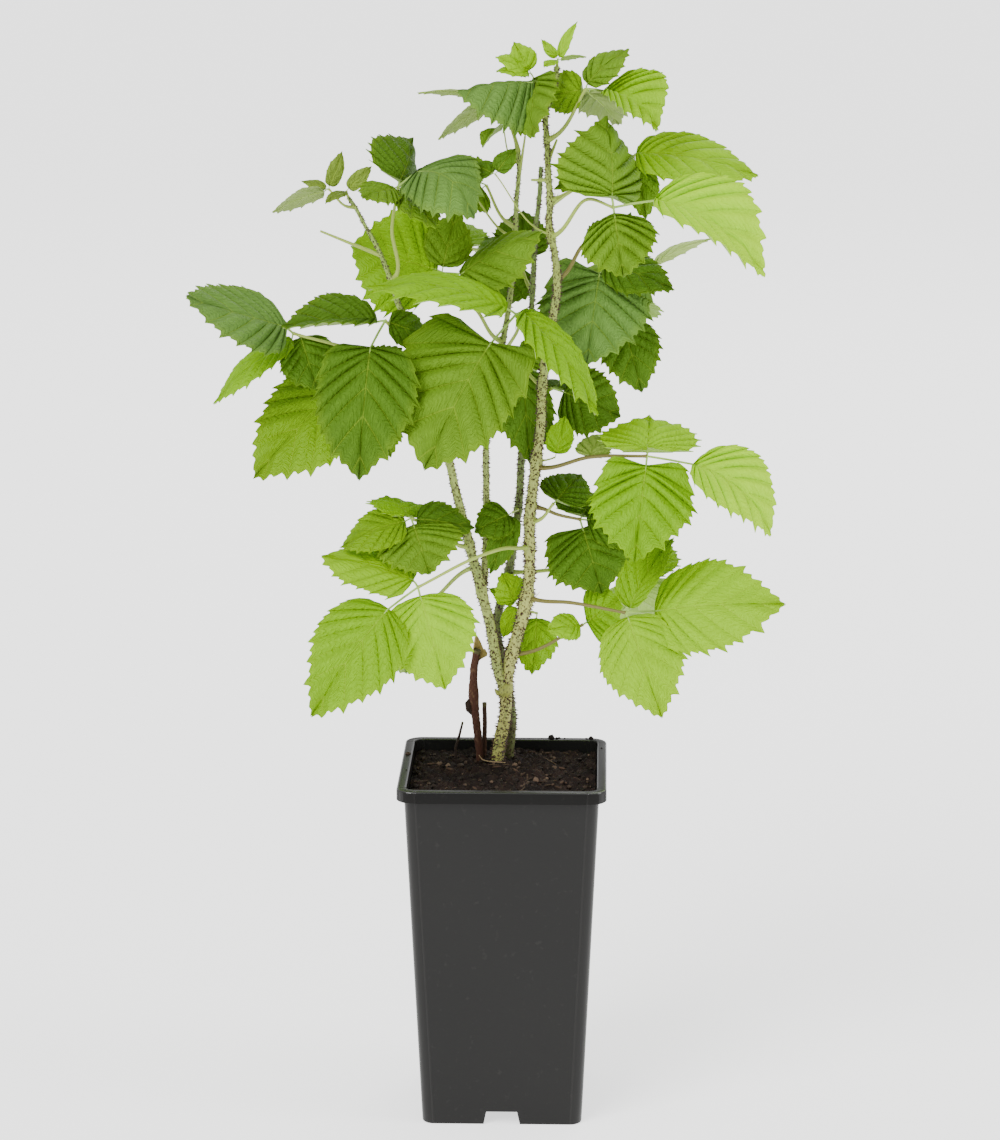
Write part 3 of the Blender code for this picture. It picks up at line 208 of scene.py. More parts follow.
LEAVES = {
    "leaf_front_centre": Leaf(
        "middle", 449, ((3.6, 453.5, -4), (8.7, 465, -20)), (7, 470, -28), "mll",
        (
            blade((-45.4, 378.1, -62), 77, (-0.25, -0.85, 0.45), (-7.5, 453.5, -38), heart=0.2, skew=-0.16),
            blade((-79, 483.2, -40), 44, (0, -0.25, 0.97), (2, 473.5, -38), 0.1),
            blade((53, 410.3, -50), 45, (0.75, -0.35, 0.55), (10.7, 471.8, -28)),
        ),
    ),
    "leaf_left_upper_front": Leaf(
        "left", 445, ((-56.2, 454.4, -10),), (-67.4, 466, -30), "ddd",
        (
            blade((-83, 372.3, -55), 55, (-0.1, -0.93, 0.35), (-76, 451, -40), heart=0.1, fold=-2),
            blade((-127, 461.4, -40), 48, (0, -0.2, 0.98), arch=0.03, fold=15),
            blade((-43, 456, -4), 20, (0.3, -0.85, 0.3), (-65.3, 465.1, -26.5)),
        ),
    ),
    "leaf_far_left": Leaf(
        "left", 430, ((-60, 440, -3),), (-120, 458.6, -5), "cld",
        (
            blade((-182, 478.9, -40), 52, (-0.1, -0.6, 0.8), (-124.4, 462.6, -8), 0),
            blade((-166, 416.5, -12), 34, (-0.5, -0.3, 0.8), (-120.6, 455.2, -4)),
            blade((-106.1, 424.7, -6), 32, (0, -0.9, 0.4), (-115.6, 456.3, -3)),
        ),
    ),
    "leaf_left_under": Leaf(
        "left", 409, ((-55, 420, 4),), (-79.1, 432.9, 8), "nmd",
        (
            blade((-144, 372.9, -8), 58, (-0.3, -0.8, 0.5), (-87.5, 431, 6)),
            blade((-64.5, 386.3, -2), 30, (0, -0.9, 0.4), (-78.6, 429.3, 6)),
            blade((-57.3, 450.6, 5), 22, (0, -0.8, 0.5)),
        ),
    ),
    "leaf_left_top": Leaf(
        "left", 489, ((-63.2, 517.8, -8),), (-59.5, 542.4, -18), "dmmc",
        (
            blade((-52.1, 570, 20), 46, (0.75, -0.6, 0.3), fold=-28),
            blade((-38.2, 518.2, -38), 28, (0.6, -0.6, 0.5)),
            blade((-80.3, 535.3, -32), 30, (-0.1, -0.4, 0.9)),
            blade((-16.8, 522.5, -30), 52, (0.3, -0.65, 0.7), (-49, 551, -16), 0.32, -12),
        ),
    ),
    "leaf_left_young": Leaf(
        "left", 531, (), (-98.9, 541, -8), "yyy",
        (
            blade((-91, 562.6, 0), 10, (0.5, -0.8, 0.2)),
            blade((-131, 527, -14), 22, (-0.2, 0.5, 0.85)),
            blade((-114.3, 545.2, -4), 8, (0, -0.5, 0.85)),
        ),
    ),
    "shoot_tip_left": Leaf(
        "left", 536.2, (), (-88.8, 540, -4), "yy",
        (
            blade((-101, 532.5, -26), 8, (0, -0.5, 0.85)),
            blade((-74.2, 554, -2), 9, (0.3, -0.8, 0.5)),
        ),
    ),
    "leaf_mid_left": Leaf(
        "middle", 454.6, ((-14.6, 471.2, 4),), (-35, 493.6, 2), "lmm",
        (
            blade((-86.9, 509, 26), 60, (0, -0.98, 0.18), (-37.7, 495.2, 8)),
            blade((-26.4, 529.9, 20), 26, (0, -0.9, 0.4), (-34.5, 497, 4)),
            blade((22.7, 516.9, -14), 44, (0.1, -0.6, 0.8), (-24.5, 493, -6), fold=-30),
        ),
    ),
    "leaf_mid_back": Leaf(
        "back", 484, (), (9.2, 499.8, 34), "ddd",
        (
            blade((-11, 513.5, 60), 30, (0, -0.3, 0.95)),
            blade((10.9, 529.3, 50), 32, (0, -0.7, 0.7)),
            blade((1, 475, 38), 24, (0, -0.9, 0.4)),
        ),
    ),
    "leaf_right_top_front": Leaf(
        "main", 514, ((47.4, 535.6, -22),), (61.8, 531, -36), "mmh",
        (
            blade((56.3, 582.2, -8), 60, (0.55, -0.75, 0.35), fold=-28),
            blade((67.9, 490.6, -55), 44, (-0.1, -0.9, 0.35), fold=-25),
            blade((147.5, 490.6, -36), 56, (0.2, -0.5, 0.84), (84.6, 535.6, -30), 0.14, 20),
        ),
    ),
    "leaf_right_top_back": Leaf(
        "main", 535, ((50, 549, 6),), (73.2, 559.9, 14), "bmm",
        (
            blade((143.4, 547.4, 10), 50, (0.1, -0.45, 0.89), (74.4, 562, 14)),
            blade((80.2, 523.8, 2), 22, (0.2, -0.95, 0.2)),
            blade((27.8, 540.6, 8), 24, (0, -0.8, 0.6)),
        ),
    ),
    "leaf_summit_right": Leaf(
        "main", 569.4, (), (46, 597.6, -6), "bmnp",
        (
            blade((86, 572.7, -12), 48, (0.3, -0.5, 0.8), (56.7, 596.8, -4), 0.18, 20),
            blade((70.5, 619.6, 2), 26, (-0.35, -0.5, 0.8), (46.5, 600.5, -5)),
            blade((23.1, 592.3, 17), 24, (0, -0.95, 0.3)),
            blade((64.6, 576.6, 14), 30, (0.2, 0.6, 0.75)),
        ),
    ),
    "leaf_summit_left": Leaf(
        "main", 582, ((20.9, 594.1, -2),), (19.5, 603, -2), "mc",
        (
            blade((17.6, 569.4, -30), 42, (-0.8, -0.45, 0.36), (18.6, 602.4, -4)),
            blade((-26.1, 594.6, -18), 52, (0, -0.35, 0.94), (16.4, 601.3, -5), fold=-45, skew=0.12),
        ),
    ),
    "leaf_summit_far_left": Leaf(
        "middle", 562.1, ((4.9, 573.9, 12),), (-3.7, 591.2, 17), "ppm",
        (
            blade((-49, 594.6, 18), 18, (0, 0.3, 0.95)),
            blade((-36.9, 568.3, 5), 20, (-0.4, 0.5, 0.75), (-7.7, 589, 14)),
            blade((9.1, 594, 45), 30, (0, -0.3, 0.95)),
        ),
    ),
    "leaf_upper_small": Leaf(
        "middle", 557.6, (), (-0.4, 576, 4), "m",
        (blade((-12.2, 564.3, -12), 13, (-0.5, -0.2, 0.85), fold=30),),
    ),
    "leaf_summit_young": Leaf(
        "main", 592, ((20.3, 598, 6),), (15.3, 606, 5), "bbb",
        (
            blade((5.4, 624, 4), 15, (-0.3, -0.8, 0.5)),
            blade((-5.1, 615.1, -2), 14, (0, -0.6, 0.8)),
            blade((-4.6, 607, -6), 11, (0, -0.5, 0.87)),
        ),
    ),
    "shoot_tip_main": Leaf(
        "main", 610.2, (), (30.2, 614, 2), "bbbb",
        (
            blade((41.2, 635.2, 0), 8, (-0.7, -0.7, 0.1)),
            blade((20.8, 625.3, -3), 6, (-0.3, -0.9, 0.3)),
            blade((46.3, 615.3, 4), 8, (0, 0.4, 0.9)),
            blade((22.3, 609.6, -8), 8, (-0.2, -0.5, 0.8)),
        ),
    ),
    "leaf_upper_mid": Leaf(
        "main", 516, (), (-4.9, 549.7, -10), "dd",
        (
            blade((6.9, 564.3, -4), 12, (0, -0.8, 0.6)),
            blade((-19, 555, 2), 14, (0, -0.7, 0.7)),
        ),
    ),
    "leaf_behind_upper_left": Leaf(
        "middle", 520, (), (-10, 543.5, 14), "mm",
        (
            blade((-33.1, 554.7, 22), 28, (0, -0.6, 0.8)),
            blade((-23.5, 532.1, 10), 24, (0, -0.9, 0.4)),
        ),
    ),
    "leaf_behind_upper_mid": Leaf(
        "middle", 514, (), (-16.7, 537.2, 0), "m",
        (blade((-34, 531, -4), 20, (0, -0.7, 0.7)),),
    ),
    "leaf_right_mid": Leaf(
        "main", 382.3, ((48.3, 387.5, -12),), (82, 388.4, -30), "gbhp",
        (
            blade((75.3, 325.2, -48), 54, (-0.05, -0.9, 0.4), heart=0.18),
            blade((83.5, 410.6, 12), 53, (0, -0.5, 0.87)),
            blade((152.7, 340.7, -30), 46, (0.35, -0.6, 0.7), (108.1, 384.2, -26), 0.2, 10),
            blade((58.5, 401.5, 8), 22, (-0.2, -0.5, 0.85), (48.6, 388.2, -10.6)),
        ),
    ),
    "leaf_right_low": Leaf(
        "main", 305.7, ((38.2, 302.1, -10),), (70.6, 296.2, -28), "bbl",
        (
            blade((163.5, 301.6, -38), 55, (0, -0.8, 0.6), (87.3, 297.4, -26)),
            blade((92.3, 232.8, -48), 45, (-0.15, -0.85, 0.45), (71.7, 293.8, -30)),
            blade((98.5, 341.1, -6), 30, (-0.6, -0.6, 0.5), fold=15),
        ),
    ),
    "leaf_right_low_back": Leaf(
        "main", 358.2, ((30.6, 354.1, 10),), (43.8, 351.2, 18), "ddd",
        (
            blade((56.7, 306.9, 6), 52, (0, -0.9, 0.4), heart=0.15),
            blade((53, 367, 45), 36, (0, -0.5, 0.85)),
            blade((84, 350, 24), 36, (0.2, -0.7, 0.7)),
        ),
    ),
    "leaf_right_small": Leaf(
        "main", 350, (), (28.6, 360.5, -2), "d",
        (blade((44.8, 377, 25), 30, (0, -0.7, 0.7)),),
    ),
    "leaf_right_low_inner": Leaf(
        "main", 272, (), (45.9, 289.1, 14), "lb",
        (
            blade((68.4, 304.5, 2), 36, (0, -0.8, 0.6)),
            blade((24.4, 285.5, 4), 18, (0, -0.8, 0.6)),
        ),
    ),
    "leaf_low_mid": Leaf(
        "main", 296, (), (19.2, 295.6, 23), "l",
        (blade((16.2, 258.7, 26), 25, (0.2, -0.9, 0.3)),),
    ),
    "leaf_left_low": Leaf(
        "main", 335.3, ((0.7, 334, -12), (-13.6, 329.4, -22)), (-49.6, 310.6, -34), "lbb",
        (
            blade((-112.4, 232, -52), 52, (-0.2, -0.85, 0.5), (-66.8, 298, -38)),
            blade((-34, 248.9, -44), 50, (0.1, -0.9, 0.4)),
            blade((-105.8, 327.8, -14), 44, (0, -0.42, 0.9), (-52, 315, -28)),
        ),
    ),
    "leaf_left_low_back": Leaf(
        "left", 335.9, ((-33.8, 341.6, -6),), (-53.2, 351.4, -14), "mnld",
        (
            blade((-42.9, 317.6, -32), 46, (0, -0.8, 0.6)),
            blade((-94.6, 333.1, -16), 34, (-0.2, -0.5, 0.85)),
            blade((-68.1, 364, 22), 34, (0, 0.3, 0.95)),
            blade((-16.5, 345.3, -8), 26, (0.2, -0.7, 0.7)),
        ),
    ),
    "leaf_inner_low": Leaf(
        "back", 357.6, (), (5.4, 355.3, 5), "dd",
        (
            blade((-17.1, 342.9, -1), 24, (-0.1, -0.8, 0.55)),
            blade((-8, 318.2, -2), 18, (0, -0.9, 0.4)),
        ),
    ),
    "leaf_inner_foot": Leaf(
        "main", 303, (), (7.7, 300.9, 18), "bbb",
        (
            blade((-1.6, 319.9, 12), 20, (0, -0.8, 0.6)),
            blade((-0.6, 280.8, 18.5), 12, (0, -0.95, 0.2)),
            blade((-9.2, 310.5, 18), 8, (0, -0.9, 0.4)),
        ),
    ),
    "leaf_inner_mid": Leaf(
        "main", 430, (), (10.4, 441.4, 8), "dm",
        (
            blade((15.2, 382.8, 10), 31, (0, -1, 0), arch=0.02, fold=0),
            blade((23.5, 452.3, 10), 20, (0, -0.8, 0.6)),
        ),
    ),
    "leaf_inner_back": Leaf(
        "middle", 413, (), (-24.9, 420.5, 17), "mm",
        (
            blade((-53, 395.7, 14), 30, (0, -0.8, 0.6)),
            blade((-26, 385.7, 8), 26, (0, -0.9, 0.4)),
        ),
    ),
    "leaf_inner_right": Leaf(
        "back", 420, (), (27.5, 427.5, 14), "dd",
        (
            blade((66.9, 410.7, 16), 40, (0, -0.85, 0.5), (34, 425.5, 16)),
            blade((37.8, 429.4, 60), 32, (0, -0.4, 0.9)),
        ),
    ),
    "leaf_inner_small": Leaf(
        "main", 386, (), (29.5, 387.5, 2), "l",
        (blade((35, 412, 2), 16, (0.2, -0.9, 0.3)),),
    ),
    "leaf_right_behind": Leaf(
        "main", 491, ((45.4, 510.2, 10), (48.8, 512.5, 14)), (53.9, 499.8, 22), "cdd",
        (
            blade((47, 440, 10), 60, (0, -0.85, 0.5), (54.2, 493.6, 22), heart=0.24),
            blade((97, 483.3, 12), 32, (0.2, -0.6, 0.75)),
            blade((72, 528, 44), 32, (0, -0.5, 0.85)),
        ),
    ),
    "leaf_right_far_behind": Leaf(
        "back", 438, ((24, 447, 39),), (70.6, 478, 44), "pd",
        (
            blade((117.7, 513.5, 36), 16, (-0.3, 0.5, 0.8), (85.5, 499.8, 42)),
            blade((78.8, 424.7, 22), 34, (0.1, -0.9, 0.4), (67.2, 465.5, 34)),
        ),
    ),
    "leaf_rear_middle": Leaf(
        "middle", 425, ((-12, 430, 40),), (-20, 432, 70), "mmm",
        (
            blade((-60, 432, 108), 46, (-0.3, 0.6, 0.75)),
            blade((-26, 396, 126), 49, (0, 0.75, 0.65)),
            blade((16, 436, 112), 44, (0.3, 0.6, 0.75)),
        ),
    ),
    "leaf_rear_right": Leaf(
        "back", 449, ((23, 456, 48),), (50, 480, 80), "llm",
        (
            blade((44, 448, 126), 48, (0, 0.8, 0.6)),
            blade((88, 468, 112), 44, (0.3, 0.5, 0.8)),
            blade((62, 500, 132), 42, (0, 0.3, 0.95)),
        ),
    ),
    "leaf_rear_left": Leaf(
        "left", 420, ((-62, 421, 28),), (-84, 420, 56), "mmd",
        (
            blade((-124, 404, 94), 45, (-0.4, 0.6, 0.7)),
            blade((-88, 386, 108), 46, (0, 0.8, 0.6)),
            blade((-62, 404, 88), 32, (0.3, 0.6, 0.75)),
        ),
    ),
    "leaf_rear_top": Leaf(
        "middle", 500, ((-12, 506, 34),), (-30, 508, 62), "dmm",
        (
            blade((-74, 512, 98), 42, (-0.2, 0.4, 0.9)),
            blade((-32, 524, 116), 42, (0, 0.5, 0.85)),
            blade((4, 508, 104), 32, (0.2, 0.5, 0.85)),
        ),
    ),
    "leaf_rear_low_right": Leaf(
        "back", 320, ((42, 322, 38),), (76, 316, 60), "bbl",
        (
            blade((118, 298, 88), 45, (0.3, 0.6, 0.75)),
            blade((80, 276, 110), 46, (0, 0.8, 0.6)),
            blade((94, 338, 102), 32, (0.3, 0.4, 0.85)),
        ),
    ),
    "leaf_rear_low_left": Leaf(
        "left", 322, ((-40, 304, 20),), (-60, 292, 42), "blb",
        (
            blade((-96, 270, 72), 44, (-0.4, 0.6, 0.7)),
            blade((-56, 258, 92), 45, (0, 0.85, 0.5)),
            blade((-32, 288, 82), 32, (0.3, 0.6, 0.75)),
        ),
    ),
}

# The stalks that are flushed red, and the tints of stalks
REDDISH_STALKS = (
    "leaf_right_mid",
    "leaf_right_low",
    "leaf_right_low_back",
    "leaf_right_low_inner",
    "leaf_right_behind",
    "leaf_right_far_behind",
)
REDDISH = (0.16, 0.14, 0.03)
YELLOWISH = (0.33, 0.43, 0.07)

# How deep the pleats between the veins are, where a leaf is more or less folded than most
RELIEF = {
    "leaf_right_top_front": 1.7,
    "leaf_right_top_back": 1.4,
    "leaf_summit_right": 1.5,
    "leaf_summit_left": 1.3,
    "leaf_summit_young": 1.6,
    "leaf_front_centre": 1.5,
    "leaf_left_upper_front": 1.3,
    "leaf_right_mid": 1.4,
    "leaf_right_behind": 1.3,
    "leaf_right_low": 0.6,
    "leaf_left_low": 0.8,
    "leaf_left_low_back": 0.8,
}


def unit(vectors):
    """Each vector divided by its length."""
    vectors = np.asarray(vectors, float)
    return vectors / np.linalg.norm(vectors, axis=-1, keepdims=True)


def sight(place):
    """The point for (right, up, depth): the eye plus the way to (right, 0, up) times 1 + depth / distance."""
    place = np.asarray(place, float)
    in_plane = place * (1, 0, 0) + place[..., 1:2] * (0, 0, 1)
    return EYE + (in_plane - EYE) * (1 - place[..., 2:3] / EYE[1])


def smooth(points, step):
    """Points about step apart on the smooth curve through the given ones, a cubic between each two."""
    points = np.asarray(points, float)
    spans = np.linalg.norm(np.diff(points, axis=0), axis=1)
    along = np.concatenate([[0], np.cumsum(spans)])
    slopes = np.gradient(points, along, axis=0)
    count = max(3, round(along[-1] / step) + 1)
    places = np.linspace(0, along[-1], count)
    i = np.clip(np.searchsorted(along, places, side="right") - 1, 0, len(spans) - 1)
    span = spans[i][:, None]
    t = (places - along[i])[:, None] / span
    start = (2 * t**3 - 3 * t**2 + 1) * points[i] + (t**3 - 2 * t**2 + t) * span * slopes[i]
    end = (3 * t**2 - 2 * t**3) * points[i + 1] + (t**3 - t**2) * span * slopes[i + 1]
    return start + end


def length_along(path):
    """The length of the path up to each of its points."""
    return np.concatenate([[0], np.cumsum(np.linalg.norm(np.diff(path, axis=0), axis=1))])


def cross_axes(path):
    """The way a path goes at each point, and two directions square to it and to each other."""
    ways = unit(np.gradient(path, axis=0))
    least = np.linalg.svd(ways, full_matrices=False)[2][2]
    across = unit(np.cross(ways, least))
    return ways, across, np.cross(ways, across)


def rings(path, radii, sides):
    """Circles carried along a path: path + radius (cos t across + sin t other), t once round."""
    _, across, other = cross_axes(path)
    t = 2 * np.pi * np.arange(sides) / sides
    spokes = np.cos(t)[:, None] * across[:, None] + np.sin(t)[:, None] * other[:, None]
    return path[:, None] + np.reshape(radii, (len(path), -1, 1)) * spokes


def skin_faces(rows, around):
    """The squares between neighbouring loops, and the flat caps of the first and last loop."""
    row = np.arange(rows - 1)[:, None] * around
    k = np.arange(around)
    after = (k + 1) % around
    squares = np.stack([row + k, row + after, row + around + after, row + around + k], -1)
    first = k[::-1][None]
    last = (k + (rows - 1) * around)[None]
    return squares.reshape(-1, 4), first, last


def tube(path, radii, sides, finish, tint, lie_z=0.0):
    """A closed round skin along a path. Its pattern lies at (distance round, length, lie_z)."""
    loops = rings(path, radii, sides)
    squares, first, last = skin_faces(len(path), sides)
    far = length_along(path)
    turn = np.broadcast_to(np.arange(sides) / sides, (len(path), sides))
    length = np.broadcast_to(far[:, None], turn.shape)
    width = 2 * np.pi * float(np.mean(radii))
    lie = np.stack([turn * width, length, np.full(turn.shape, lie_z)], -1)
    vein = np.stack([length / max(far[-1], 1), turn, turn * 0], -1)
    colour = np.broadcast_to(np.asarray(tint, float).reshape(-1, 1, 3), (len(path), sides, 3))
    groups = [(squares, finish), (first, finish), (last, finish)]
    return Patch(loops.reshape(-1, 3), groups, lie.reshape(-1, 3), vein.reshape(-1, 3), colour.reshape(-1, 3))


def thorns(feet, ways, tall, wide, finish, tint):
    """Five-sided spikes: a small ring round each foot, and its tip at foot + way * tall."""
    count = len(feet)
    across = unit(np.cross(ways, (0.31, 0.87, 0.39)))
    other = np.cross(ways, across)
    t = 2 * np.pi * np.arange(5) / 5
    spokes = np.cos(t)[:, None] * across[:, None] + np.sin(t)[:, None] * other[:, None]
    ring = feet[:, None] + wide[:, None, None] * spokes
    points = np.concatenate([ring, (feet + ways * tall[:, None])[:, None]], axis=1)
    low = np.arange(count)[:, None] * 6
    k = np.arange(5)
    sides = np.stack([low + k, low + (k + 1) % 5, np.broadcast_to(low + 5, (count, 5))], -1)
    groups = [(sides.reshape(-1, 3), finish), (low + k[::-1], finish)]
    flat = points.reshape(-1, 3)
    vein = np.tile([[0, 0, 0]] * 5 + [[1, 0, 0]], (count, 1))
    return Patch(flat, groups, flat, vein, np.broadcast_to(tint, flat.shape))


def piece(name, patches, finishes, nodes, sharp=50):
    """One object from patches set end to end. It stands for the given nodes of the frame."""
    shifts = np.cumsum([0] + [len(patch.points) for patch in patches])
    faces = []
    kinds = []
    for patch, shift in zip(patches, shifts):
        for group, finish in patch.groups:
            faces += (group + shift).tolist()
            kinds.append(np.broadcast_to(finish, len(group)))
    points = (np.concatenate([patch.points for patch in patches]) + POT_MIDDLE) * MM
    mesh = bpy.data.meshes.new(name)
    mesh.from_pydata(points.tolist(), [], faces)
    mesh.polygons.foreach_set("material_index", np.concatenate(kinds).astype(np.int32))
    for field in ("lie", "vein"):
        values = np.concatenate([getattr(patch, field) for patch in patches]).astype(np.float32)
        mesh.attributes.new(field, "FLOAT_VECTOR", "POINT").data.foreach_set("vector", values.ravel())
    tints = np.concatenate([patch.tint for patch in patches])
    tints = np.hstack([tints, np.ones((len(tints), 1))]).astype(np.float32)
    mesh.attributes.new("tint", "FLOAT_COLOR", "POINT").data.foreach_set("color", tints.ravel())
    for finish in finishes:
        mesh.materials.append(finish)
    mesh.shade_smooth()
    mesh.set_sharp_from_angle(angle=np.radians(sharp))
    made = bpy.data.objects.new(name, mesh)
    bpy.context.scene.collection.objects.link(made)
    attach(made, "root")
    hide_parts(*nodes)
    return made


class Value:
    """A socket of numbers, which sums, products, differences, quotients and powers can be written with."""

    def __init__(self, finish, socket):
        self.finish = finish
        self.socket = socket

    def maths(self, operation, *terms):
        return self.finish.node("ShaderNodeMath", {"operation": operation}, dict(enumerate(terms)))

    def __add__(self, other):
        return self.maths("ADD", self, other)

    def __radd__(self, other):
        return self.maths("ADD", other, self)

    def __sub__(self, other):
        return self.maths("SUBTRACT", self, other)

    def __rsub__(self, other):
        return self.maths("SUBTRACT", other, self)

    def __mul__(self, other):
        return self.maths("MULTIPLY", self, other)

    def __rmul__(self, other):
        return self.maths("MULTIPLY", other, self)

    def __truediv__(self, other):
        return self.maths("DIVIDE", self, other)

    def __pow__(self, other):
        return self.maths("POWER", self, other)

    def __abs__(self):
        return self.maths("ABSOLUTE", self)


class Finish:
    """A material: one Principled shader with its constants, and nodes that node() adds before it."""

    def __init__(self, name, constants):
        self.material = bpy.data.materials.new(name)
        self.material.use_nodes = True
        self.tree = self.material.node_tree
        self.surface = self.tree.nodes["Principled BSDF"]
        for socket, number in constants.items():
            self.surface.inputs[socket].default_value = number

    def node(self, kind, settings=None, inputs=None, output=0):
        """A node of any kind: its settings first, a ramp's stops among them, then its sockets."""
        made = self.tree.nodes.new(kind)
        for key, value in (settings or {}).items():
            if key == "stops":
                self.set_stops(made.color_ramp.elements, value)
            else:
                setattr(made, key, value)
        for place, value in (inputs or {}).items():
            self.join(value, made.inputs[place])
        return Value(self, made.outputs[output])

    def set_stops(self, elements, stops):
        while len(elements) < len(stops):
            elements.new(0.5)
        for element, (place, colour) in zip(elements, stops):
            element.position = place
            element.color = (*colour, 1)

    def join(self, value, socket):
        if isinstance(value, Value):
            self.tree.links.new(value.socket, socket)
        else:
            socket.default_value = value

    def attribute(self, name, output):
        return self.node("ShaderNodeAttribute", {"attribute_name": name}, output=output)

    def parts(self, vector):
        """The three numbers of a vector."""
        return [self.node("ShaderNodeSeparateXYZ", inputs={0: vector}, output=i) for i in range(3)]

    def vector(self, x, y, z):
        return self.node("ShaderNodeCombineXYZ", inputs={0: x, 1: y, 2: z})

    def noise(self, vector, scale, detail=3.0):
        inputs = {"Vector": vector, "Scale": scale, "Detail": detail}
        return self.node("ShaderNodeTexNoise", inputs=inputs)

    def step(self, value, low, high):
        """0 below low, 1 above high, and an even curve between."""
        settings = {"interpolation_type": "SMOOTHSTEP"}
        return self.node("ShaderNodeMapRange", settings, {"Value": value, "From Min": low, "From Max": high})

    def mix(self, share, first, second, blend="MIX"):
        settings = {"data_type": "RGBA", "blend_type": blend}
        first, second = (tuple(c) + (1,) if isinstance(c, tuple) else c for c in (first, second))
        return self.node("ShaderNodeMix", settings, {0: share, 6: first, 7: second}, 2)

    def scaled(self, colour, share):
        """A colour made lighter or darker by a number."""
        return self.mix(1.0, colour, self.vector(share, share, share), "MULTIPLY")

    def bump(self, height, strength, distance):
        return self.node("ShaderNodeBump", inputs={"Strength": strength, "Distance": distance, "Height": height})

    def wear(self, **values):
        """Joins values to the surface: base_color, roughness or normal."""
        for name, value in values.items():
            self.join(value, self.surface.inputs[name.replace("_", " ").title()])
        return self.material


def leaf_nerves(finish):
    """Masks of a leaflet's veins: 1 on the midrib and side veins, 0 to 1 away from the finest net, and 0 to 1
    away from the small veins that join the side veins like the rungs of a ladder."""
    lie = finish.attribute("lie", 1)
    order, across, _ = finish.parts(finish.attribute("vein", 1))
    _, away, _ = finish.parts(lie)
    from_vein = abs(order - order.maths("ROUND", order))
    side_vein = 1 - finish.step(from_vein, 0.0, 0.06 - 0.035 * abs(across))
    midrib = 1 - finish.step(abs(away), 0.15, 0.65)
    veins = side_vein.maths("MAXIMUM", side_vein, midrib)
    squeezed = finish.node("ShaderNodeVectorMath", {"operation": "MULTIPLY"}, {0: lie, 1: (0.34, 0.55, 1)})
    cells = finish.node("ShaderNodeTexVoronoi", {"feature": "DISTANCE_TO_EDGE"}, {"Vector": squeezed, "Scale": 1.0})
    net = finish.step(cells, 0.0, 0.2)
    run = abs(away) * 0.34 + abs(order) * 0.3 + finish.noise(lie, 0.3) * 1.4
    rungs = finish.step(run.maths("PINGPONG", run, 0.5), 0.02, 0.3)
    return lie, veins, net, rungs, across


def leaf_upper():
    """Green tissue, quilted by a fine net, with paler veins and soft hairs that dull it."""
    finish = Finish("leaf_upper", {"Specular IOR Level": 0.09})
    lie, veins, net, rungs, across = leaf_nerves(finish)
    tint = finish.attribute("tint", 0)
    patches = finish.noise(lie, 0.09)
    fine = finish.noise(lie, 1.1)
    # Painted shade: the tissue is a little darker along the fine net and the rungs, the sunken small veins
    tissue = finish.scaled(tint, 0.78 + patches * 0.28 + fine * 0.06 + net * 0.05 + rungs * 0.05)
    yellow = finish.mix(finish.step(abs(across), 0.8, 1.05) * 0.15, tissue, (0.30, 0.46, 0.0))
    colour = finish.mix(veins * 0.3, yellow, (0.33, 0.48, 0.03))
    _, green, _ = finish.parts(tint)
    folded = 1.0 - finish.step(green, 0.3, 0.6) * 0.6
    height = (net * 0.35 + rungs * 0.5 - veins * 0.5) * folded + fine * 0.2
    return finish.wear(
        base_color=colour,
        roughness=0.5 + fine * 0.16,
        normal=finish.bump(height, 0.8, 0.0009),
    )


def leaf_under():
    """The felted, whitish underside, with its veins raised."""
    finish = Finish("leaf_under", {"Sheen Weight": 0.15, "Specular IOR Level": 0.1})
    lie, veins, net, rungs, _ = leaf_nerves(finish)
    tint = finish.attribute("tint", 0)
    felt = finish.noise(lie, 1.6)
    pale = finish.mix(0.55, tint, (0.36, 0.47, 0.17))
    tissue = finish.scaled(pale, 0.86 + felt * 0.16 + net * 0.06)
    colour = finish.mix(veins * 0.5, tissue, (0.42, 0.50, 0.17))
    height = veins * 0.8 - net * 0.3 - rungs * 0.4 + felt * 0.3
    return finish.wear(base_color=colour, roughness=0.78 + felt * 0.1, normal=finish.bump(height, 0.5, 0.0006))


def stalk_skin():
    """Smooth, slightly waxy skin of petioles and midribs, with a faint grain along it."""
    finish = Finish("stalk_skin", {"Specular IOR Level": 0.4})
    around, along, _ = finish.parts(finish.attribute("lie", 1))
    grain = finish.noise(finish.vector(around * 2.2, along * 0.25, 0.0), 1.0)
    colour = finish.scaled(finish.attribute("tint", 0), 0.8 + grain * 0.4)
    return finish.wear(base_color=colour, roughness=0.42 + grain * 0.15, normal=finish.bump(grain, 0.25, 0.0003))


def cane_bark():
    """Pale green bark with lengthwise streaks, darker blotches and the small dark scars of lost prickles."""
    finish = Finish("cane_bark", {"Specular IOR Level": 0.35})
    around, along, other = finish.parts(finish.attribute("lie", 1))
    streaks = finish.noise(finish.vector(around * 1.5, along * 0.12, other), 1.0)
    blotches = finish.noise(finish.vector(around * 0.3, along * 0.1, other), 1.0)
    spots = finish.node(
        "ShaderNodeTexVoronoi", inputs={"Vector": finish.vector(around * 0.75, along * 0.5, other), "Scale": 1.0}
    )
    scars = 1 - finish.step(spots, 0.26, 0.4)
    bark = finish.scaled(finish.attribute("tint", 0), 0.62 + streaks * 0.55 + blotches * 0.25)
    green = finish.mix(finish.step(blotches, 0.5, 0.68) * 0.45, bark, (0.17, 0.24, 0.07))
    colour = finish.mix(scars * 0.6, green, (0.07, 0.06, 0.035))
    height = streaks * 0.5 + scars * 0.5
    return finish.wear(base_color=colour, roughness=0.5 + streaks * 0.2, normal=finish.bump(height, 0.5, 0.0004))


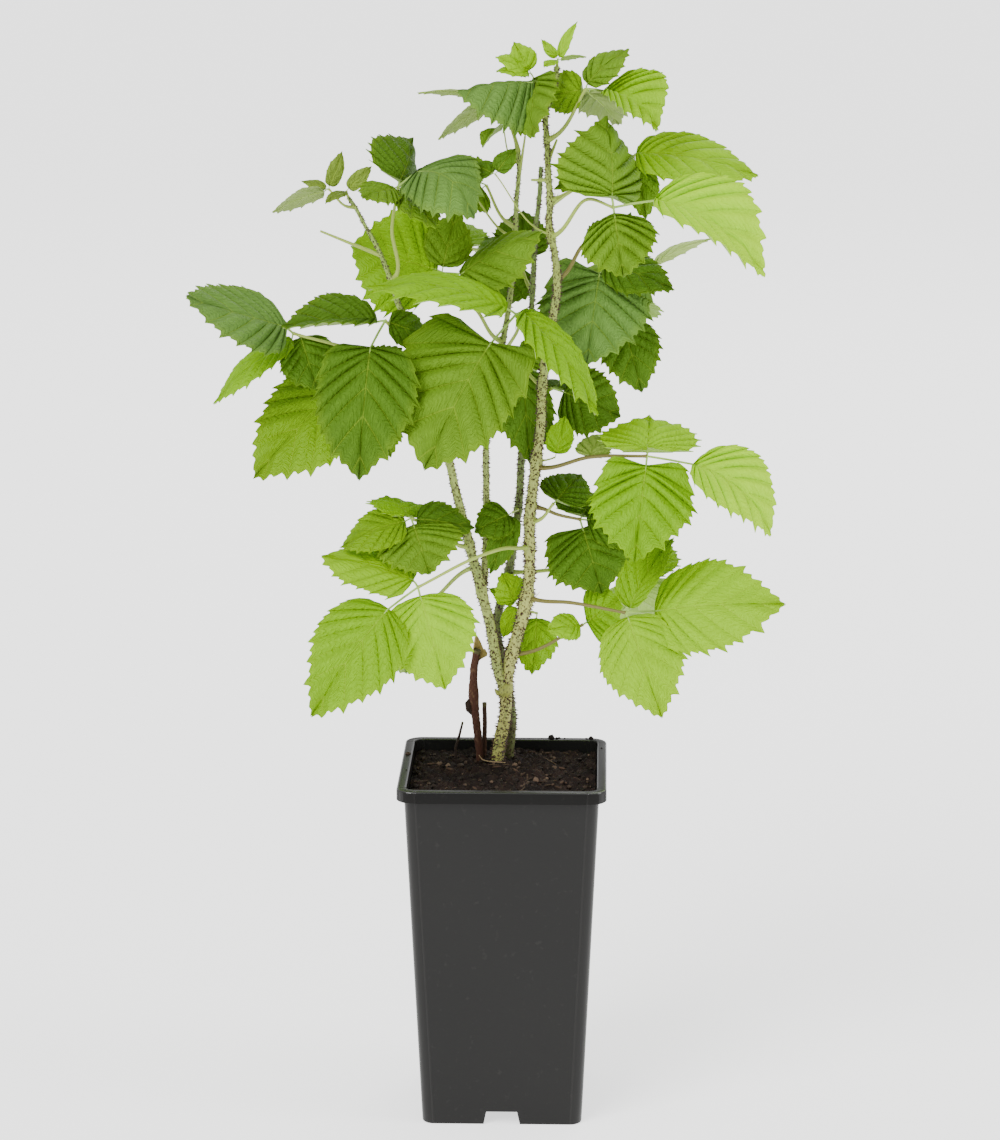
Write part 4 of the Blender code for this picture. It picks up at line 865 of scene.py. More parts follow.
def prickle_skin():
    """Dark purple-brown spikes, a little paler at the tip."""
    finish = Finish("prickle_skin", {"Specular IOR Level": 0.4})
    share, _, _ = finish.parts(finish.attribute("vein", 1))
    speckle = finish.noise(finish.attribute("lie", 1), 0.8)
    root = finish.mix(speckle, (0.022, 0.012, 0.014), (0.075, 0.04, 0.028))
    colour = finish.mix(share * 0.5, root, (0.16, 0.08, 0.04))
    return finish.wear(base_color=colour, roughness=0.4 + speckle * 0.2)


def dead_bark():
    """Dry brown bark, split lengthwise, with grey and tan flakes."""
    finish = Finish("dead_bark", {"Specular IOR Level": 0.2})
    around, along, other = finish.parts(finish.attribute("lie", 1))
    grain = finish.noise(finish.vector(around * 1.4, along * 0.2, other), 1.0, 5.0)
    flakes = finish.noise(finish.vector(around * 0.5, along * 0.3, other), 1.0)
    bark = finish.scaled(finish.attribute("tint", 0), 0.5 + grain)
    colour = finish.mix(finish.step(flakes, 0.54, 0.68) * 0.5, bark, (0.17, 0.10, 0.055))
    return finish.wear(base_color=colour, roughness=0.75 + flakes * 0.2, normal=finish.bump(grain, 0.8, 0.0006))


def pot_plastic(name, gloss, rough):
    """Moulded black plastic with a faint mottle, fine grain and a little dust, and a fine ridge beside each
    corner, where the distance from the pot's middle passes its half width less the corner's.
    The ridge line is painted lighter, a painted highlight, and the strip from it out to the corner is painted
    darker, a painted shade."""
    finish = Finish(name, {"Specular IOR Level": gloss})
    place = finish.node("ShaderNodeTexCoord", output=3)
    mottle = finish.noise(place, 14.0)
    grain = finish.noise(place, 900.0)
    dust = finish.step(finish.noise(place, 260.0, 5.0), 0.6, 0.78)
    dark = finish.mix(mottle, (0.0065, 0.0063, 0.0059), (0.0095, 0.0092, 0.0086))
    colour = finish.mix(dust * 0.12, dark, (0.06, 0.056, 0.052))
    x, y, z = finish.parts(place)
    aside = abs(x - POT_MIDDLE[0] * MM)
    aside = aside.maths("MINIMUM", aside, abs(y - POT_MIDDLE[1] * MM))
    taper = (POT_HALF_TOP - POT_HALF_BASE) / POT_HEIGHT
    inward = aside - z * taper
    # Masks of the ridge line and of the strip from it to the rounded corner, used for bump and for painted light
    ridge = finish.step(inward, (POT_HALF_BASE - 7.4) * MM, (POT_HALF_BASE - 6.9) * MM)
    corner = finish.step(inward, (POT_HALF_BASE - 6.6) * MM, (POT_HALF_BASE - 6.0) * MM)
    # Painted highlight along the ridge line, and painted shade on the strip from it out to the corner
    colour = finish.mix(corner * 0.45, finish.mix(ridge * 0.35, colour, (0.022, 0.021, 0.02)), (0.005, 0.0048, 0.0045))
    height = grain * 0.06 + mottle * 0.06 + (ridge - corner * 0.6) * 1.2
    return finish.wear(
        base_color=colour,
        roughness=rough + mottle * 0.12 + dust * 0.1,
        normal=finish.bump(height, 0.6, 0.0006),
    )


def soil_earth():
    """Moist dark compost with brown crumbs."""
    finish = Finish("soil_earth", {"Specular IOR Level": 0.25})
    place = finish.node("ShaderNodeTexCoord", output=3)
    crumbs = finish.noise(place, 420.0, 6.0)
    clods = finish.noise(place, 95.0, 4.0)
    dark = finish.mix(finish.step(clods, 0.35, 0.7), (0.006, 0.0029, 0.0022), (0.019, 0.0093, 0.0066))
    colour = finish.mix(finish.step(crumbs, 0.58, 0.74), dark, (0.046, 0.026, 0.018))
    height = crumbs * 0.6 + clods * 0.4
    return finish.wear(base_color=colour, roughness=0.8 + crumbs * 0.18, normal=finish.bump(height, 0.9, 0.0012))


def bits():
    """Bark chips, straw and fibres in the compost, each with its own tint."""
    finish = Finish("compost_bits", {"Specular IOR Level": 0.25})
    grain = finish.noise(finish.attribute("lie", 1), 0.9, 4.0)
    colour = finish.scaled(finish.attribute("tint", 0), 0.6 + grain * 0.8)
    return finish.wear(base_color=colour, roughness=0.7 + grain * 0.2, normal=finish.bump(grain, 0.6, 0.0005))


def floor_paint():
    """Plain matte white lit from within, with a trace of unevenness."""
    glow = {"Specular IOR Level": 0.1, "Emission Color": (1, 1, 1, 1), "Emission Strength": 1.3}
    finish = Finish("floor_paint", glow)
    place = finish.node("ShaderNodeTexCoord", output=3)
    uneven = finish.noise(place, 3.0)
    colour = finish.mix(uneven, (0.88, 0.88, 0.88), (0.9, 0.9, 0.9))
    return finish.wear(base_color=colour, roughness=0.85 + uneven * 0.05)


def edge_of(share, heart):
    """The plain outline at a share of the way up: along = s^1.15 less the lobes at the base, and
    out = sin(pi s^0.8) to the power 0.74 + 0.5 s^3, as shares of the length and of half the width."""
    out = np.sin(np.pi * share**0.8) ** (0.74 + 0.5 * share**3)
    return share**1.15 - heart * np.sin(np.pi * np.minimum(share / 0.34, 1)), out


def toothed_edge(order, share, heart, teeth, depth, chance):
    """The outline, swung a little in and out, with a large tooth at each vein end and a small one between.

    A tooth rises over three quarters of its length, rounding over, and falls back over the last quarter, so it
    leans to the tip of the leaflet.
    """
    along, out = edge_of(share, heart)
    out = out * (1 + 0.05 * np.sin(2 * np.pi * (1.3 * share + chance.random())))
    phase = (order * teeth + 0.75) % 1
    rise = np.where(phase < 0.76, (phase / 0.76) ** 0.8, (1 - phase) / 0.24)
    number = np.ceil(order * teeth - 0.26).astype(int)
    large = np.where(number % teeth == 0, 0.115 + 0.03 * share, 0.06 + 0.01 * share)
    uneven = chance.uniform(0.65, 1.3, number.max() - number.min() + 1)[number - number.min()]
    fade = np.clip(share / 0.08, 0, 1) * np.clip((1 - share) / 0.14, 0, 1)
    reach = depth * large * uneven * rise * fade
    return along + 0.3 * reach, out + reach


def leaflet(part, hub, green, relief, chance):
    """A leaflet, thin and quilted, and its midrib.

    With q counting the side veins, s the share of the way up and t from 1 on the left edge through 0 on the
    midrib to -1 on the right: a row of points runs from (s^3.2, 0) on the midrib to (along, out) on the toothed
    edge, bowed a little. Each point is raised by the arch 4 along (1 - along), by a pleat |sin(pi q)| between
    veins, and by a slow wave at the edge, and dips at the midrib. The underside lies a thin wall below, thicker
    on the veins.
    """
    fine = next(row for row in FINENESS if part.width >= row[0])
    _, veins, teeth, points, halves = fine
    tip = sight(part.tip)
    start = sight(hub)
    base = sight(part.base) if part.base else start + unit(tip - start) * (part.width * BASE_SHARE + 1)
    length = np.linalg.norm(tip - base)
    axis = unit(tip - base)
    if np.linalg.norm(base - start) > STRIP_LIMIT:
        start = base - axis * STALK_BITE
    face = np.asarray(part.facing, float)
    face = unit(face - axis * np.dot(face, axis))
    side = np.cross(face, axis)
    tilt = np.radians(part.fold)
    half = part.width / 2

    order = np.arange(veins * teeth * points + 1) / (teeth * points) - 0.5
    share = np.clip((order + 0.5) / veins, 0.0002, 0.992)
    depth = np.clip(part.width / 26, 0.45, 1.0)
    edges = [toothed_edge(order, share, part.heart, teeth, depth, chance) for _ in range(2)]
    t = np.linspace(1, -1, 2 * halves + 1)
    v = np.abs(t)
    edge_along, edge_out = (np.where(t >= 0, edges[0][i][:, None], edges[1][i][:, None]) for i in range(2))
    mid = share[:, None] ** 3.2
    lean = edge_along - mid
    along = mid + v * lean - 0.2 * v * (1 - v) * lean
    out = v * edge_out * (1 + part.skew * np.sign(t))
    phases = chance.uniform(0, 2 * np.pi, 2)
    wave = np.sin(2 * np.pi * 1.4 * share[:, None] + np.where(t >= 0, phases[0], phases[1]))
    pleat = relief * min(2.4, 0.05 * part.width) * np.abs(np.sin(np.pi * order))[:, None] ** 0.9
    lift = pleat * np.minimum(1, 3.5 * v) ** 0.8 * (1 - 0.35 * v**3) * (1 - 0.3 * share[:, None] ** 2)
    lift = lift + 0.016 * part.width * v**2 * wave - 0.35 * np.exp(-((v * half / 1.4) ** 2))
    lift = lift + part.arch * length * 4 * along * (1 - along)
    aside = side * np.cos(tilt) * np.sign(t)[:, None] + face * np.sin(tilt)
    upper = base + axis * length * along[..., None] + face * lift[..., None]
    upper = upper + aside * (out * half)[..., None]
    on_vein = np.exp(-(((order - np.round(order)) / 0.05) ** 2))[:, None]
    thick = RIM_THICK + 0.4 * on_vein * (1 - 0.6 * v)
    under = upper - face * thick[..., None]
    loops = np.concatenate([upper, under[:, ::-1]], axis=1)
    squares, first, last = skin_faces(*loops.shape[:2])
    kind = np.zeros(loops.shape[1], int)
    kind[len(t) : -1] = 1
    both = np.concatenate([t, t[::-1]])
    order_all, t_all = np.broadcast_arrays(order[:, None], both)
    share_all = np.broadcast_to(share[:, None], t_all.shape)
    own = chance.uniform(0, 900)
    lie = np.stack([order_all * length / veins, t_all * half, np.full(t_all.shape, own)], -1)
    vein = np.stack([order_all, t_all, share_all], -1)
    tint = np.array(GREENS[green]) * chance.uniform(0.93, 1.07)
    groups = [(squares, np.tile(kind, len(order) - 1)), (first, 0), (last, 0)]
    flat = [array.reshape(-1, 3) for array in (loops, lie, vein)]
    blade_skin = Patch(flat[0], groups, flat[1], flat[2], np.broadcast_to(tint, flat[0].shape))

    run = np.linspace(0.01, 0.93, 14)[:, None]
    thickness = np.clip(part.width / 45, 0.3, 1.0) * np.concatenate([[0.7, 0.68], np.linspace(0.62, 0.16, 14)])
    sunk = 0.5 + 0.9 * thickness[2:, None] * np.minimum(1, run / 0.08)
    spine = base + axis * length * run + face * (part.arch * length * 4 * run * (1 - run) - sunk)
    rib = np.vstack([start, start * 0.5 + base * 0.5, spine])
    pale = np.array((0.40, 0.50, 0.14)) * (0.6 + 0.4 * tint / tint.max())
    return [blade_skin, tube(rib, thickness, 6, 2, pale)]


def spot_on(name, up):
    """The axis point, direction and radius of a cane where it passes the given height."""
    cane = CANES[name]
    places = smooth(cane.course, 1)
    i = int(np.argmin(np.abs(places[:, 1] - up)))
    path = sight(places)
    way = unit(path[min(i + 2, len(path) - 1)] - path[max(i - 2, 0)])
    heights, radii = zip(*cane.radii)
    return path[i], way, float(np.interp(up, heights, radii))


def leaf_stalk(leaf, tint, chance):
    """A petiole from inside its cane to the hub, flared where it joins, with two thread-like stipules."""
    centre, way, radius = spot_on(leaf.cane, leaf.at)
    at_tip = leaf.at >= CANES[leaf.cane].course[-1][1]
    first = sight(leaf.via[0] if leaf.via else leaf.hub)
    out = first - centre
    out = way if at_tip else unit(out - way * np.dot(out, way))
    foot = centre if at_tip else centre + out * radius
    course = [foot, *[sight(place) for place in leaf.via], sight(leaf.hub)]
    reach = np.linalg.norm(course[1] - foot)
    bend = unit(out + unit(course[1] - foot)) * min(STALK_LEAD, reach * 0.4)
    course.insert(1, foot + bend)
    path = smooth(course, STALK_STEP)
    path = np.vstack([centre + out * radius * 0.2, path])
    widest = max(part.width for part in leaf.blades)
    size = np.clip(widest / NARROW_LEAF, 0.5, 1.1)
    away = length_along(path)
    radii = np.linspace(STALK_FOOT, STALK_END, len(path)) * size * (1 + 0.75 * np.exp(-away / 3.0))
    radii *= 1 + 0.35 * np.exp(-(((away[-1] - away) / 1.6) ** 2))
    patches = [tube(path, radii, STALK_SIDES, 2, tint)]
    if widest >= 28 and not at_tip:
        for hand in (1, -1):
            aside = unit(np.cross(out, way)) * hand
            tip = foot + out * 2.5 + aside * 3.4 + way * chance.uniform(2.5, 5)
            thread = smooth([foot + aside * 0.4, foot + aside * 1.6 + out * 1.0 + way, tip], 1.2)
            patches.append(tube(thread, np.linspace(0.32, 0.07, len(thread)), 5, 2, tint))
    return patches


def make_leaves(finishes):
    """Each compound leaf: its stalk and its leaflets, in one piece."""
    chance = np.random.default_rng(SEED)
    for name, leaf in LEAVES.items():
        tint = REDDISH if name in REDDISH_STALKS else YELLOWISH
        patches = leaf_stalk(leaf, tint, chance)
        for part, green in zip(leaf.blades, leaf.greens):
            patches += leaflet(part, leaf.hub, green, RELIEF.get(name, 1.0), chance)
        slot = next(row["material_slot"] for row in frame["record"]["subparts"] if row["node"] == name)
        piece(f"{name}_dressed", patches, finishes, [name])


def cane_skin(name, tint_low, tint_high, deep, chance):
    """A cane's skin: its radius swells at each leaf joint and wanders a little round and along."""
    cane = CANES[name]
    places = smooth(cane.course, CANE_STEP)
    path = sight(places)
    heights, sizes = zip(*cane.radii)
    radii = np.interp(places[:, 1], heights, sizes)
    for leaf in LEAVES.values():
        if leaf.cane == name:
            radii *= 1 + 0.2 * np.exp(-(((places[:, 1] - leaf.at) / 3.5) ** 2))
    for fork, up in FORKS:
        if fork == name:
            radii *= 1 + 0.26 * np.exp(-(((places[:, 1] - up) / 3.2) ** 2))
    if deep:
        path = np.vstack([path[0] - (0, 0, deep), path])
        radii = np.concatenate([radii[:1], radii])
    rough = chance.normal(0, 0.03, (len(path), CANE_SIDES))
    rough = (rough + np.roll(rough, 1, 0) + np.roll(rough, 1, 1)) * 0.7
    share = np.linspace(0, 1, len(path))[:, None]
    tint = np.array(tint_low) * (1 - share) + np.array(tint_high) * share
    return path, radii, tube(path, radii[:, None] * (1 + rough), CANE_SIDES, 0, tint, chance.uniform(0, 90))


def cane_thorns(path, radii, per_mm, tallest, chance):
    """Bristles at random places on a cane, longer and closer low down, leaning a little to its foot."""
    ways, across, other = cross_axes(path)
    far = length_along(path)
    count = int(far[-1] * per_mm)
    at = far[-1] * chance.random(count) ** 1.15
    turn = chance.uniform(0, 2 * np.pi, count)
    pick = np.searchsorted(far, at).clip(1, len(far) - 1)
    share = ((at - far[pick - 1]) / (far[pick] - far[pick - 1]))[:, None]
    centre = path[pick - 1] * (1 - share) + path[pick] * share
    out = np.cos(turn)[:, None] * across[pick] + np.sin(turn)[:, None] * other[pick]
    radius = np.interp(at, far, radii)
    tall = tallest * chance.uniform(0.35, 1.0, count) * (1 - 0.35 * at / far[-1])
    wide = chance.uniform(0.34, 0.66, count) * (0.55 + 0.45 * tall / tallest)
    lean = unit(out - ways[pick] * chance.uniform(-0.1, 0.45, count)[:, None])
    return thorns(centre + out * (radius - 0.1)[:, None], lean, tall + 0.1, wide, 1, (0.05, 0.03, 0.03))


def make_canes(bark, spike, stalk):
    """The forked front canes with their bare spurs, and the cane behind them."""
    chance = np.random.default_rng(SEED)
    patches = []
    for name, low, high, deep, per_mm, tallest in (
        ("main", (0.44, 0.44, 0.12), (0.26, 0.36, 0.06), 14, 8.5, 2.2),
        ("left", (0.33, 0.38, 0.09), (0.27, 0.39, 0.08), 0, 5.5, 1.7),
        ("middle", (0.33, 0.38, 0.11), (0.26, 0.37, 0.07), 0, 4.5, 1.9),
    ):
        path, radii, skin = cane_skin(name, low, high, deep, chance)
        patches += [skin, cane_thorns(path, radii, per_mm, tallest, chance)]
    for cane, up, end, radius in SPURS:
        start, _, _ = spot_on(cane, up)
        path = smooth([start, sight(end)], 2.0)
        patches.append(tube(path, np.linspace(radius * 1.5, radius * 0.8, len(path)), STALK_SIDES, 2, YELLOWISH))
    for course, radii in FORK_LUMPS:
        path = smooth([sight(place) for place in course], 0.8)
        grown = np.interp(np.linspace(0, 1, len(path)), np.linspace(0, 1, len(radii)), radii)
        patches.append(tube(path, grown, CANE_SIDES, 0, FORK_TINT))
    piece("canes_front", patches, [bark, spike, stalk], ["canes_forked"])
    # Painted shade: the rear cane keeps the front canes' olive tint at a quarter to two thirds of their brightness
    path, radii, skin = cane_skin("back", (0.11, 0.115, 0.04), (0.15, 0.23, 0.05), 14, chance)
    patches = [skin, cane_thorns(path, radii, 5.5, 2.1, chance)]
    piece("cane_rear", patches, [bark, spike], ["cane_back"])


def make_dead_wood(bark, cut):
    """The dry remains of older canes: rough bark, a paler cut end, and a papery husk on the tallest."""
    chance = np.random.default_rng(SEED)
    for name, node, tint in (
        ("old", "cane_old", (0.075, 0.030, 0.020)),
        ("stub", "cane_stub", (0.055, 0.028, 0.018)),
        ("twig", "twig_dry", (0.035, 0.024, 0.018)),
    ):
        cane = CANES[name]
        places = smooth(cane.course, 1.2)
        path = sight(places)
        heights, sizes = zip(*cane.radii)
        radii = np.interp(places[:, 1], heights, sizes)
        path = np.vstack([path[0] - (0, 0, 10), path])
        radii = np.concatenate([radii[:1], radii])
        rough = 1 + 0.09 * chance.normal(0, 1, (1, 12)) + 0.05 * chance.normal(0, 1, (len(path), 12))
        patches = [tube(path, radii[:, None] * rough, 12, 0, tint)]
        top = path[-1]
        way = unit(path[-1] - path[-3])
        plug = np.array([top - way * 3, top - way, top + way * 0.2, top + way * 0.5])
        patches.append(tube(plug, np.array([0.9, 1.15, 1.1, 0.5]) * radii[-1], 12, 1, CUT_END))
        if name == "old":
            knob = sight([(-18.4, 235, 23), (-20.2, 238, 22), (-20.8, 241.5, 22), (-19.2, 245, 22)])
            patches += [husk(top, way), tube(knob, np.array([0.8, 2.0, 1.9, 0.7]), 12, 0, KNOB)]
        piece(f"{node}_dressed", patches, [bark, cut], [node], 40)


def husk(top, way):
    """A torn papery scale behind a cut end: part of a tube that flares to the right as it rises.

    At turn t, 0 to the right and a quarter turn to the back, its lower edge is at -4.5 - 2 cos t and its upper
    edge at 5 - 6.5 cos t, which is ragged, and its radius grows from 2.4 by up to 4 on the right.
    """
    share = np.linspace(0, 1, 16)[:, None]
    turn = np.linspace(-0.3, 3.7, 22)
    ragged = 0.7 * np.sin(5 * turn) + 0.5 * np.sin(11 * turn + 1)
    low = -4.5 - 2 * np.cos(turn)
    rise = low + (5 - 6.5 * np.cos(turn) + ragged - low) * share
    radius = 2.4 + 2.0 * share**1.3 * (1 + np.cos(turn)) + 0.15 * np.sin(4 * turn + 3 * share)
    across = unit(np.array((1.0, 0.0, 0.0)) - way * way[0])
    other = np.cross(way, across)
    spokes = np.cos(turn)[:, None] * across + np.sin(turn)[:, None] * other
    sheet = top + way * rise[..., None] + radius[..., None] * spokes
    inner = sheet - spokes * 0.25
    loops = np.concatenate([sheet, inner[:, ::-1]], axis=1)
    squares, first, last = skin_faces(*loops.shape[:2])
    flat = loops.reshape(-1, 3)
    groups = [(squares, 1), (first, 1), (last, 1)]
    return Patch(flat, groups, flat, flat * 0, np.broadcast_to((0.40, 0.30, 0.10), flat.shape))


def rounded_square(half, corner, height):
    """A square loop with round corners: each corner's centre plus corner (cos a, sin a)."""
    turn = np.radians(np.linspace(-45, 45, CORNER_POINTS))[None]
    middle = np.radians(45 + 90 * np.arange(4))[:, None]
    reach = np.sqrt(2) * (half - corner)
    x = reach * np.cos(middle) + corner * np.cos(middle + turn)
    y = reach * np.sin(middle) + corner * np.sin(middle + turn)
    return np.stack([x.ravel(), y.ravel(), np.full(x.size, float(height))], -1)


def pot_half(height):
    """Half the outer width of the pot's wall at a height."""
    return POT_HALF_BASE + (POT_HALF_TOP - POT_HALF_BASE) * height / POT_HEIGHT


def solid(name, loops):
    """A closed solid through loops, set at the pot's place, for cutting or being cut."""
    loops = np.array(loops)
    squares, first, last = skin_faces(*loops.shape[:2])
    mesh = bpy.data.meshes.new(name)
    points = (loops.reshape(-1, 3) + POT_MIDDLE) * MM
    mesh.from_pydata(points.tolist(), [], squares.tolist() + first.tolist() + last.tolist())
    made = bpy.data.objects.new(name, mesh)
    bpy.context.scene.collection.objects.link(made)
    return made


def cut(body, tools):
    """Takes each tool away from the body and removes it."""
    for tool in tools:
        modifier = body.modifiers.new("cut", "BOOLEAN")
        modifier.operation = "DIFFERENCE"
        modifier.solver = "EXACT"
        modifier.object = tool
        graph = bpy.context.evaluated_depsgraph_get()
        shape = bpy.data.meshes.new_from_object(body.evaluated_get(graph))
        body.modifiers.clear()
        body.data = shape
        bpy.data.objects.remove(tool)
    return body


def cross_bars(grow, tall):
    """Two crossing bars, narrower at the top, that follow the channels under the pot, wider by grow."""
    reach = POT_HALF_TOP + OVER
    for turned in (False, True):
        loops = []
        for height, half in ((-1, CHANNEL_HALF_FOOT), (tall, CHANNEL_HALF_TOP)):
            wide = half + grow
            loop = np.array([(-reach, -wide, height), (reach, -wide, height), (reach, wide, height), (-reach, wide, height)])
            loops.append(loop @ np.array([(0, 1, 0), (-1, 0, 0), (0, 0, 1)]) if turned else loop)
        yield solid("bar", loops)


def make_pot(plastics):
    """A tapered square shell: a profile of rounded squares, its lips rounded by quarter circles."""
    rim_low = POT_HEIGHT - RIM_TALL
    skirt = RIM_HALF - RIM_SKIRT
    groove_top = POT_HEIGHT - POT_WALL
    bow = np.radians(np.linspace(0, 90, 5))
    profile = [(POT_HALF_BASE - 1 + np.sin(a), POT_CORNER - 1 + np.sin(a), 1 - np.cos(a)) for a in bow]
    profile += [(pot_half(z), POT_CORNER, z) for z in np.linspace(12, groove_top - 1, 9)]
    profile += [
        (pot_half(groove_top), POT_CORNER, groove_top),
        (skirt, SKIRT_CORNER, groove_top),
        (skirt, SKIRT_CORNER, rim_low + 0.3),
        (skirt + 0.3, SKIRT_CORNER, rim_low),
        (RIM_HALF - 0.3, RIM_CORNER, rim_low),
        (RIM_HALF, RIM_CORNER, rim_low + 0.3),
    ]
    lip = 1.1
    profile += [
        (RIM_HALF - lip + lip * np.cos(a), RIM_CORNER - lip / 2 * np.sin(a), POT_HEIGHT - lip + lip * np.sin(a))
        for a in bow
    ]
    pot = solid("pot_shell", [rounded_square(*row) for row in profile])
    hollow = []
    for z in np.linspace(POT_WALL, POT_HEIGHT - 0.6, 8):
        hollow.append(rounded_square(pot_half(z) - POT_WALL, POT_CORNER - POT_WALL, z))
    top = pot_half(POT_HEIGHT) - POT_WALL
    hollow.append(rounded_square(top + 0.25, POT_CORNER - POT_WALL + 0.25, POT_HEIGHT - 0.25))
    hollow.append(rounded_square(top + 0.8, POT_CORNER - POT_WALL + 0.8, POT_HEIGHT + 0.001))
    hollow.append(rounded_square(top + 0.8, POT_CORNER - POT_WALL + 0.8, POT_HEIGHT + OVER))
    hollow = cut(solid("hollow", hollow), cross_bars(POT_WALL, CHANNEL_TALL + POT_WALL))
    drains = []
    for x, y in ((0, 0), (DRAIN_OFFSET, 0), (-DRAIN_OFFSET, 0), (0, DRAIN_OFFSET), (0, -DRAIN_OFFSET)):
        path = np.array([(x, y, CHANNEL_TALL - OVER), (x, y, CHANNEL_TALL), (x, y, CHANNEL_TALL + POT_WALL + OVER)])
        drains.append(solid("drain", rings(path, np.full(3, DRAIN_RADIUS), 24)))
    cut(pot, [hollow, *cross_bars(0, CHANNEL_TALL), *drains])
    pot.data.materials.clear()
    for plastic in plastics:
        pot.data.materials.append(plastic)
    centres = np.empty((len(pot.data.polygons), 3), np.float32)
    pot.data.polygons.foreach_get("center", centres.ravel())
    centres = centres / MM - POT_MIDDLE
    reach = np.abs(centres[:, :2]).max(axis=1)
    kinds = np.where((centres[:, 2] > rim_low - 0.5) & (reach > skirt - 0.5), 1, 0)
    on_lip = (centres[:, 2] > POT_HEIGHT - 0.8) & (centres[:, 2] < POT_HEIGHT - 0.02)
    kinds = np.where(on_lip & (reach > top), 2, kinds)
    pot.data.polygons.foreach_set("material_index", kinds.astype(np.int32))
    pot.data.shade_smooth()
    pot.data.set_sharp_from_angle(angle=np.radians(35))
    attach(pot, "root")
    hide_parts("pot")


def soil_top(x, y, chance):
    """The heaped surface: level at the wall, raised round the canes, with clods of several sizes.

    The clods are sums of sines whose directions and phases are random, from 14 mm down to 2 mm long.
    """
    away = np.hypot(x - SOIL_MOUND_CENTRE[0], y - SOIL_MOUND_CENTRE[1])
    heap = np.clip(1 - away / SOIL_MOUND_REACH, 0, 1)
    top = SOIL_EDGE + SOIL_MOUND * heap**1.5 * (1.6 - 0.6 * heap)
    for long, tall in ((14, 0.35), (7, 0.3), (4, 0.22), (2.6, 0.18), (1.9, 0.14)):
        for _ in range(5):
            angle, phase = chance.uniform(0, 2 * np.pi, 2)
            way = (x * np.cos(angle) + y * np.sin(angle)) * 2 * np.pi / long
            top = top + tall * np.sin(way + phase + 0.8 * np.sin(way * 0.37 + phase))
    return top


def make_soil(earth, mixed):
    """Compost: a grid with a clodded top, a plain body below it, and crumbs, chips and fibres lying on it."""
    chance = np.random.default_rng(SEED)
    half = pot_half(SOIL_EDGE) - POT_WALL - SOIL_FIT
    corner = POT_CORNER - POT_WALL - SOIL_FIT
    rim = rounded_square(half, corner, 0)
    along = np.linspace(0, 1, 4 * SOIL_GRID, endpoint=False)
    closed = np.vstack([rim, rim[:1]])
    far = length_along(closed)
    rim = np.stack([np.interp(along * far[-1], far, closed[:, i]) for i in range(3)], -1)
    shares = np.concatenate([np.linspace(1, 0.985, 3), np.linspace(0.97, 0.012, 88)])[:, None, None]
    grid = rim[None] * shares
    seeded = np.random.default_rng(SEED + 1)
    grid[..., 2] = soil_top(grid[..., 0], grid[..., 1], seeded)
    foot = []
    for z in (CHANNEL_TALL + POT_WALL + 1, SOIL_EDGE - 3):
        low = pot_half(z) - POT_WALL - SOIL_FIT
        foot.append(rim * (low / half, low / half, 0) + (0, 0, z))
    loops = np.concatenate([np.array(foot), grid])
    squares, first, last = skin_faces(*loops.shape[:2])
    flat = loops.reshape(-1, 3)
    earth_patch = Patch(flat, [(squares, 0), (first, 0), (last, 0)], flat, flat * 0, flat * 0 + 0.02)
    patches = [earth_patch, crumbs(half, seeded, chance)]
    for _ in range(CHIPS + FIBRES):
        patches.append(litter(half, len(patches) <= CHIPS, chance))
    root = smooth([sight(place) for place in ROOT], 1.0)
    patches.append(tube(root, np.full(len(root), 0.3), 6, 1, (0.34, 0.24, 0.14)))
    piece("compost", patches, [earth, mixed], ["soil"], 60)


def ground(x, y):
    """The height of the heap, without clods."""
    away = np.hypot(x - SOIL_MOUND_CENTRE[0], y - SOIL_MOUND_CENTRE[1])
    heap = np.clip(1 - away / SOIL_MOUND_REACH, 0, 1)
    return SOIL_EDGE + SOIL_MOUND * heap**1.5 * (1.6 - 0.6 * heap)


def crumbs(half, seeded, chance):
    """Rough eight-sided lumps: two rings and two poles round each centre, each point pushed in or out."""
    centres = chance.uniform(-half + 2.5, half - 2.5, (CRUMBS, 2))
    size = chance.gamma(4, 0.22, CRUMBS).clip(0.4, 2.2)
    turn = 2 * np.pi * np.arange(8) / 8
    level = np.array((-0.9, -0.35, 0.35, 0.9))
    reach = np.array((0.35, 0.95, 0.95, 0.35))
    shape = np.stack(
        [reach[:, None] * np.cos(turn), reach[:, None] * np.sin(turn), np.broadcast_to(level[:, None], (4, 8))], -1
    )
    rough = chance.uniform(0.7, 1.25, (CRUMBS, 4, 8, 1))
    points = shape[None] * rough * size[:, None, None, None] * (1, 1, 0.8)
    centres[: len(SPILT)] = SPILT
    heights = ground(centres[:, 0], centres[:, 1]) + size * 0.25
    heights[: len(SPILT)] = POT_HEIGHT + 0.3 * size[: len(SPILT)]
    points = points + np.column_stack([centres, heights])[:, None, None]
    squares, first, last = skin_faces(4, 8)
    shift = np.arange(CRUMBS)[:, None, None] * 32
    groups = [
        ((squares + shift).reshape(-1, 4), 1),
        ((first + shift).reshape(-1, 8), 1),
        ((last + shift).reshape(-1, 8), 1),
    ]
    brown = chance.uniform(0, 1, (CRUMBS, 1)) ** 6
    tint = (1 - brown) * (0.013, 0.008, 0.006) + brown * (0.14, 0.09, 0.06)
    flat = points.reshape(-1, 3)
    return Patch(flat, groups, flat, flat * 0, np.repeat(tint, 32, axis=0))


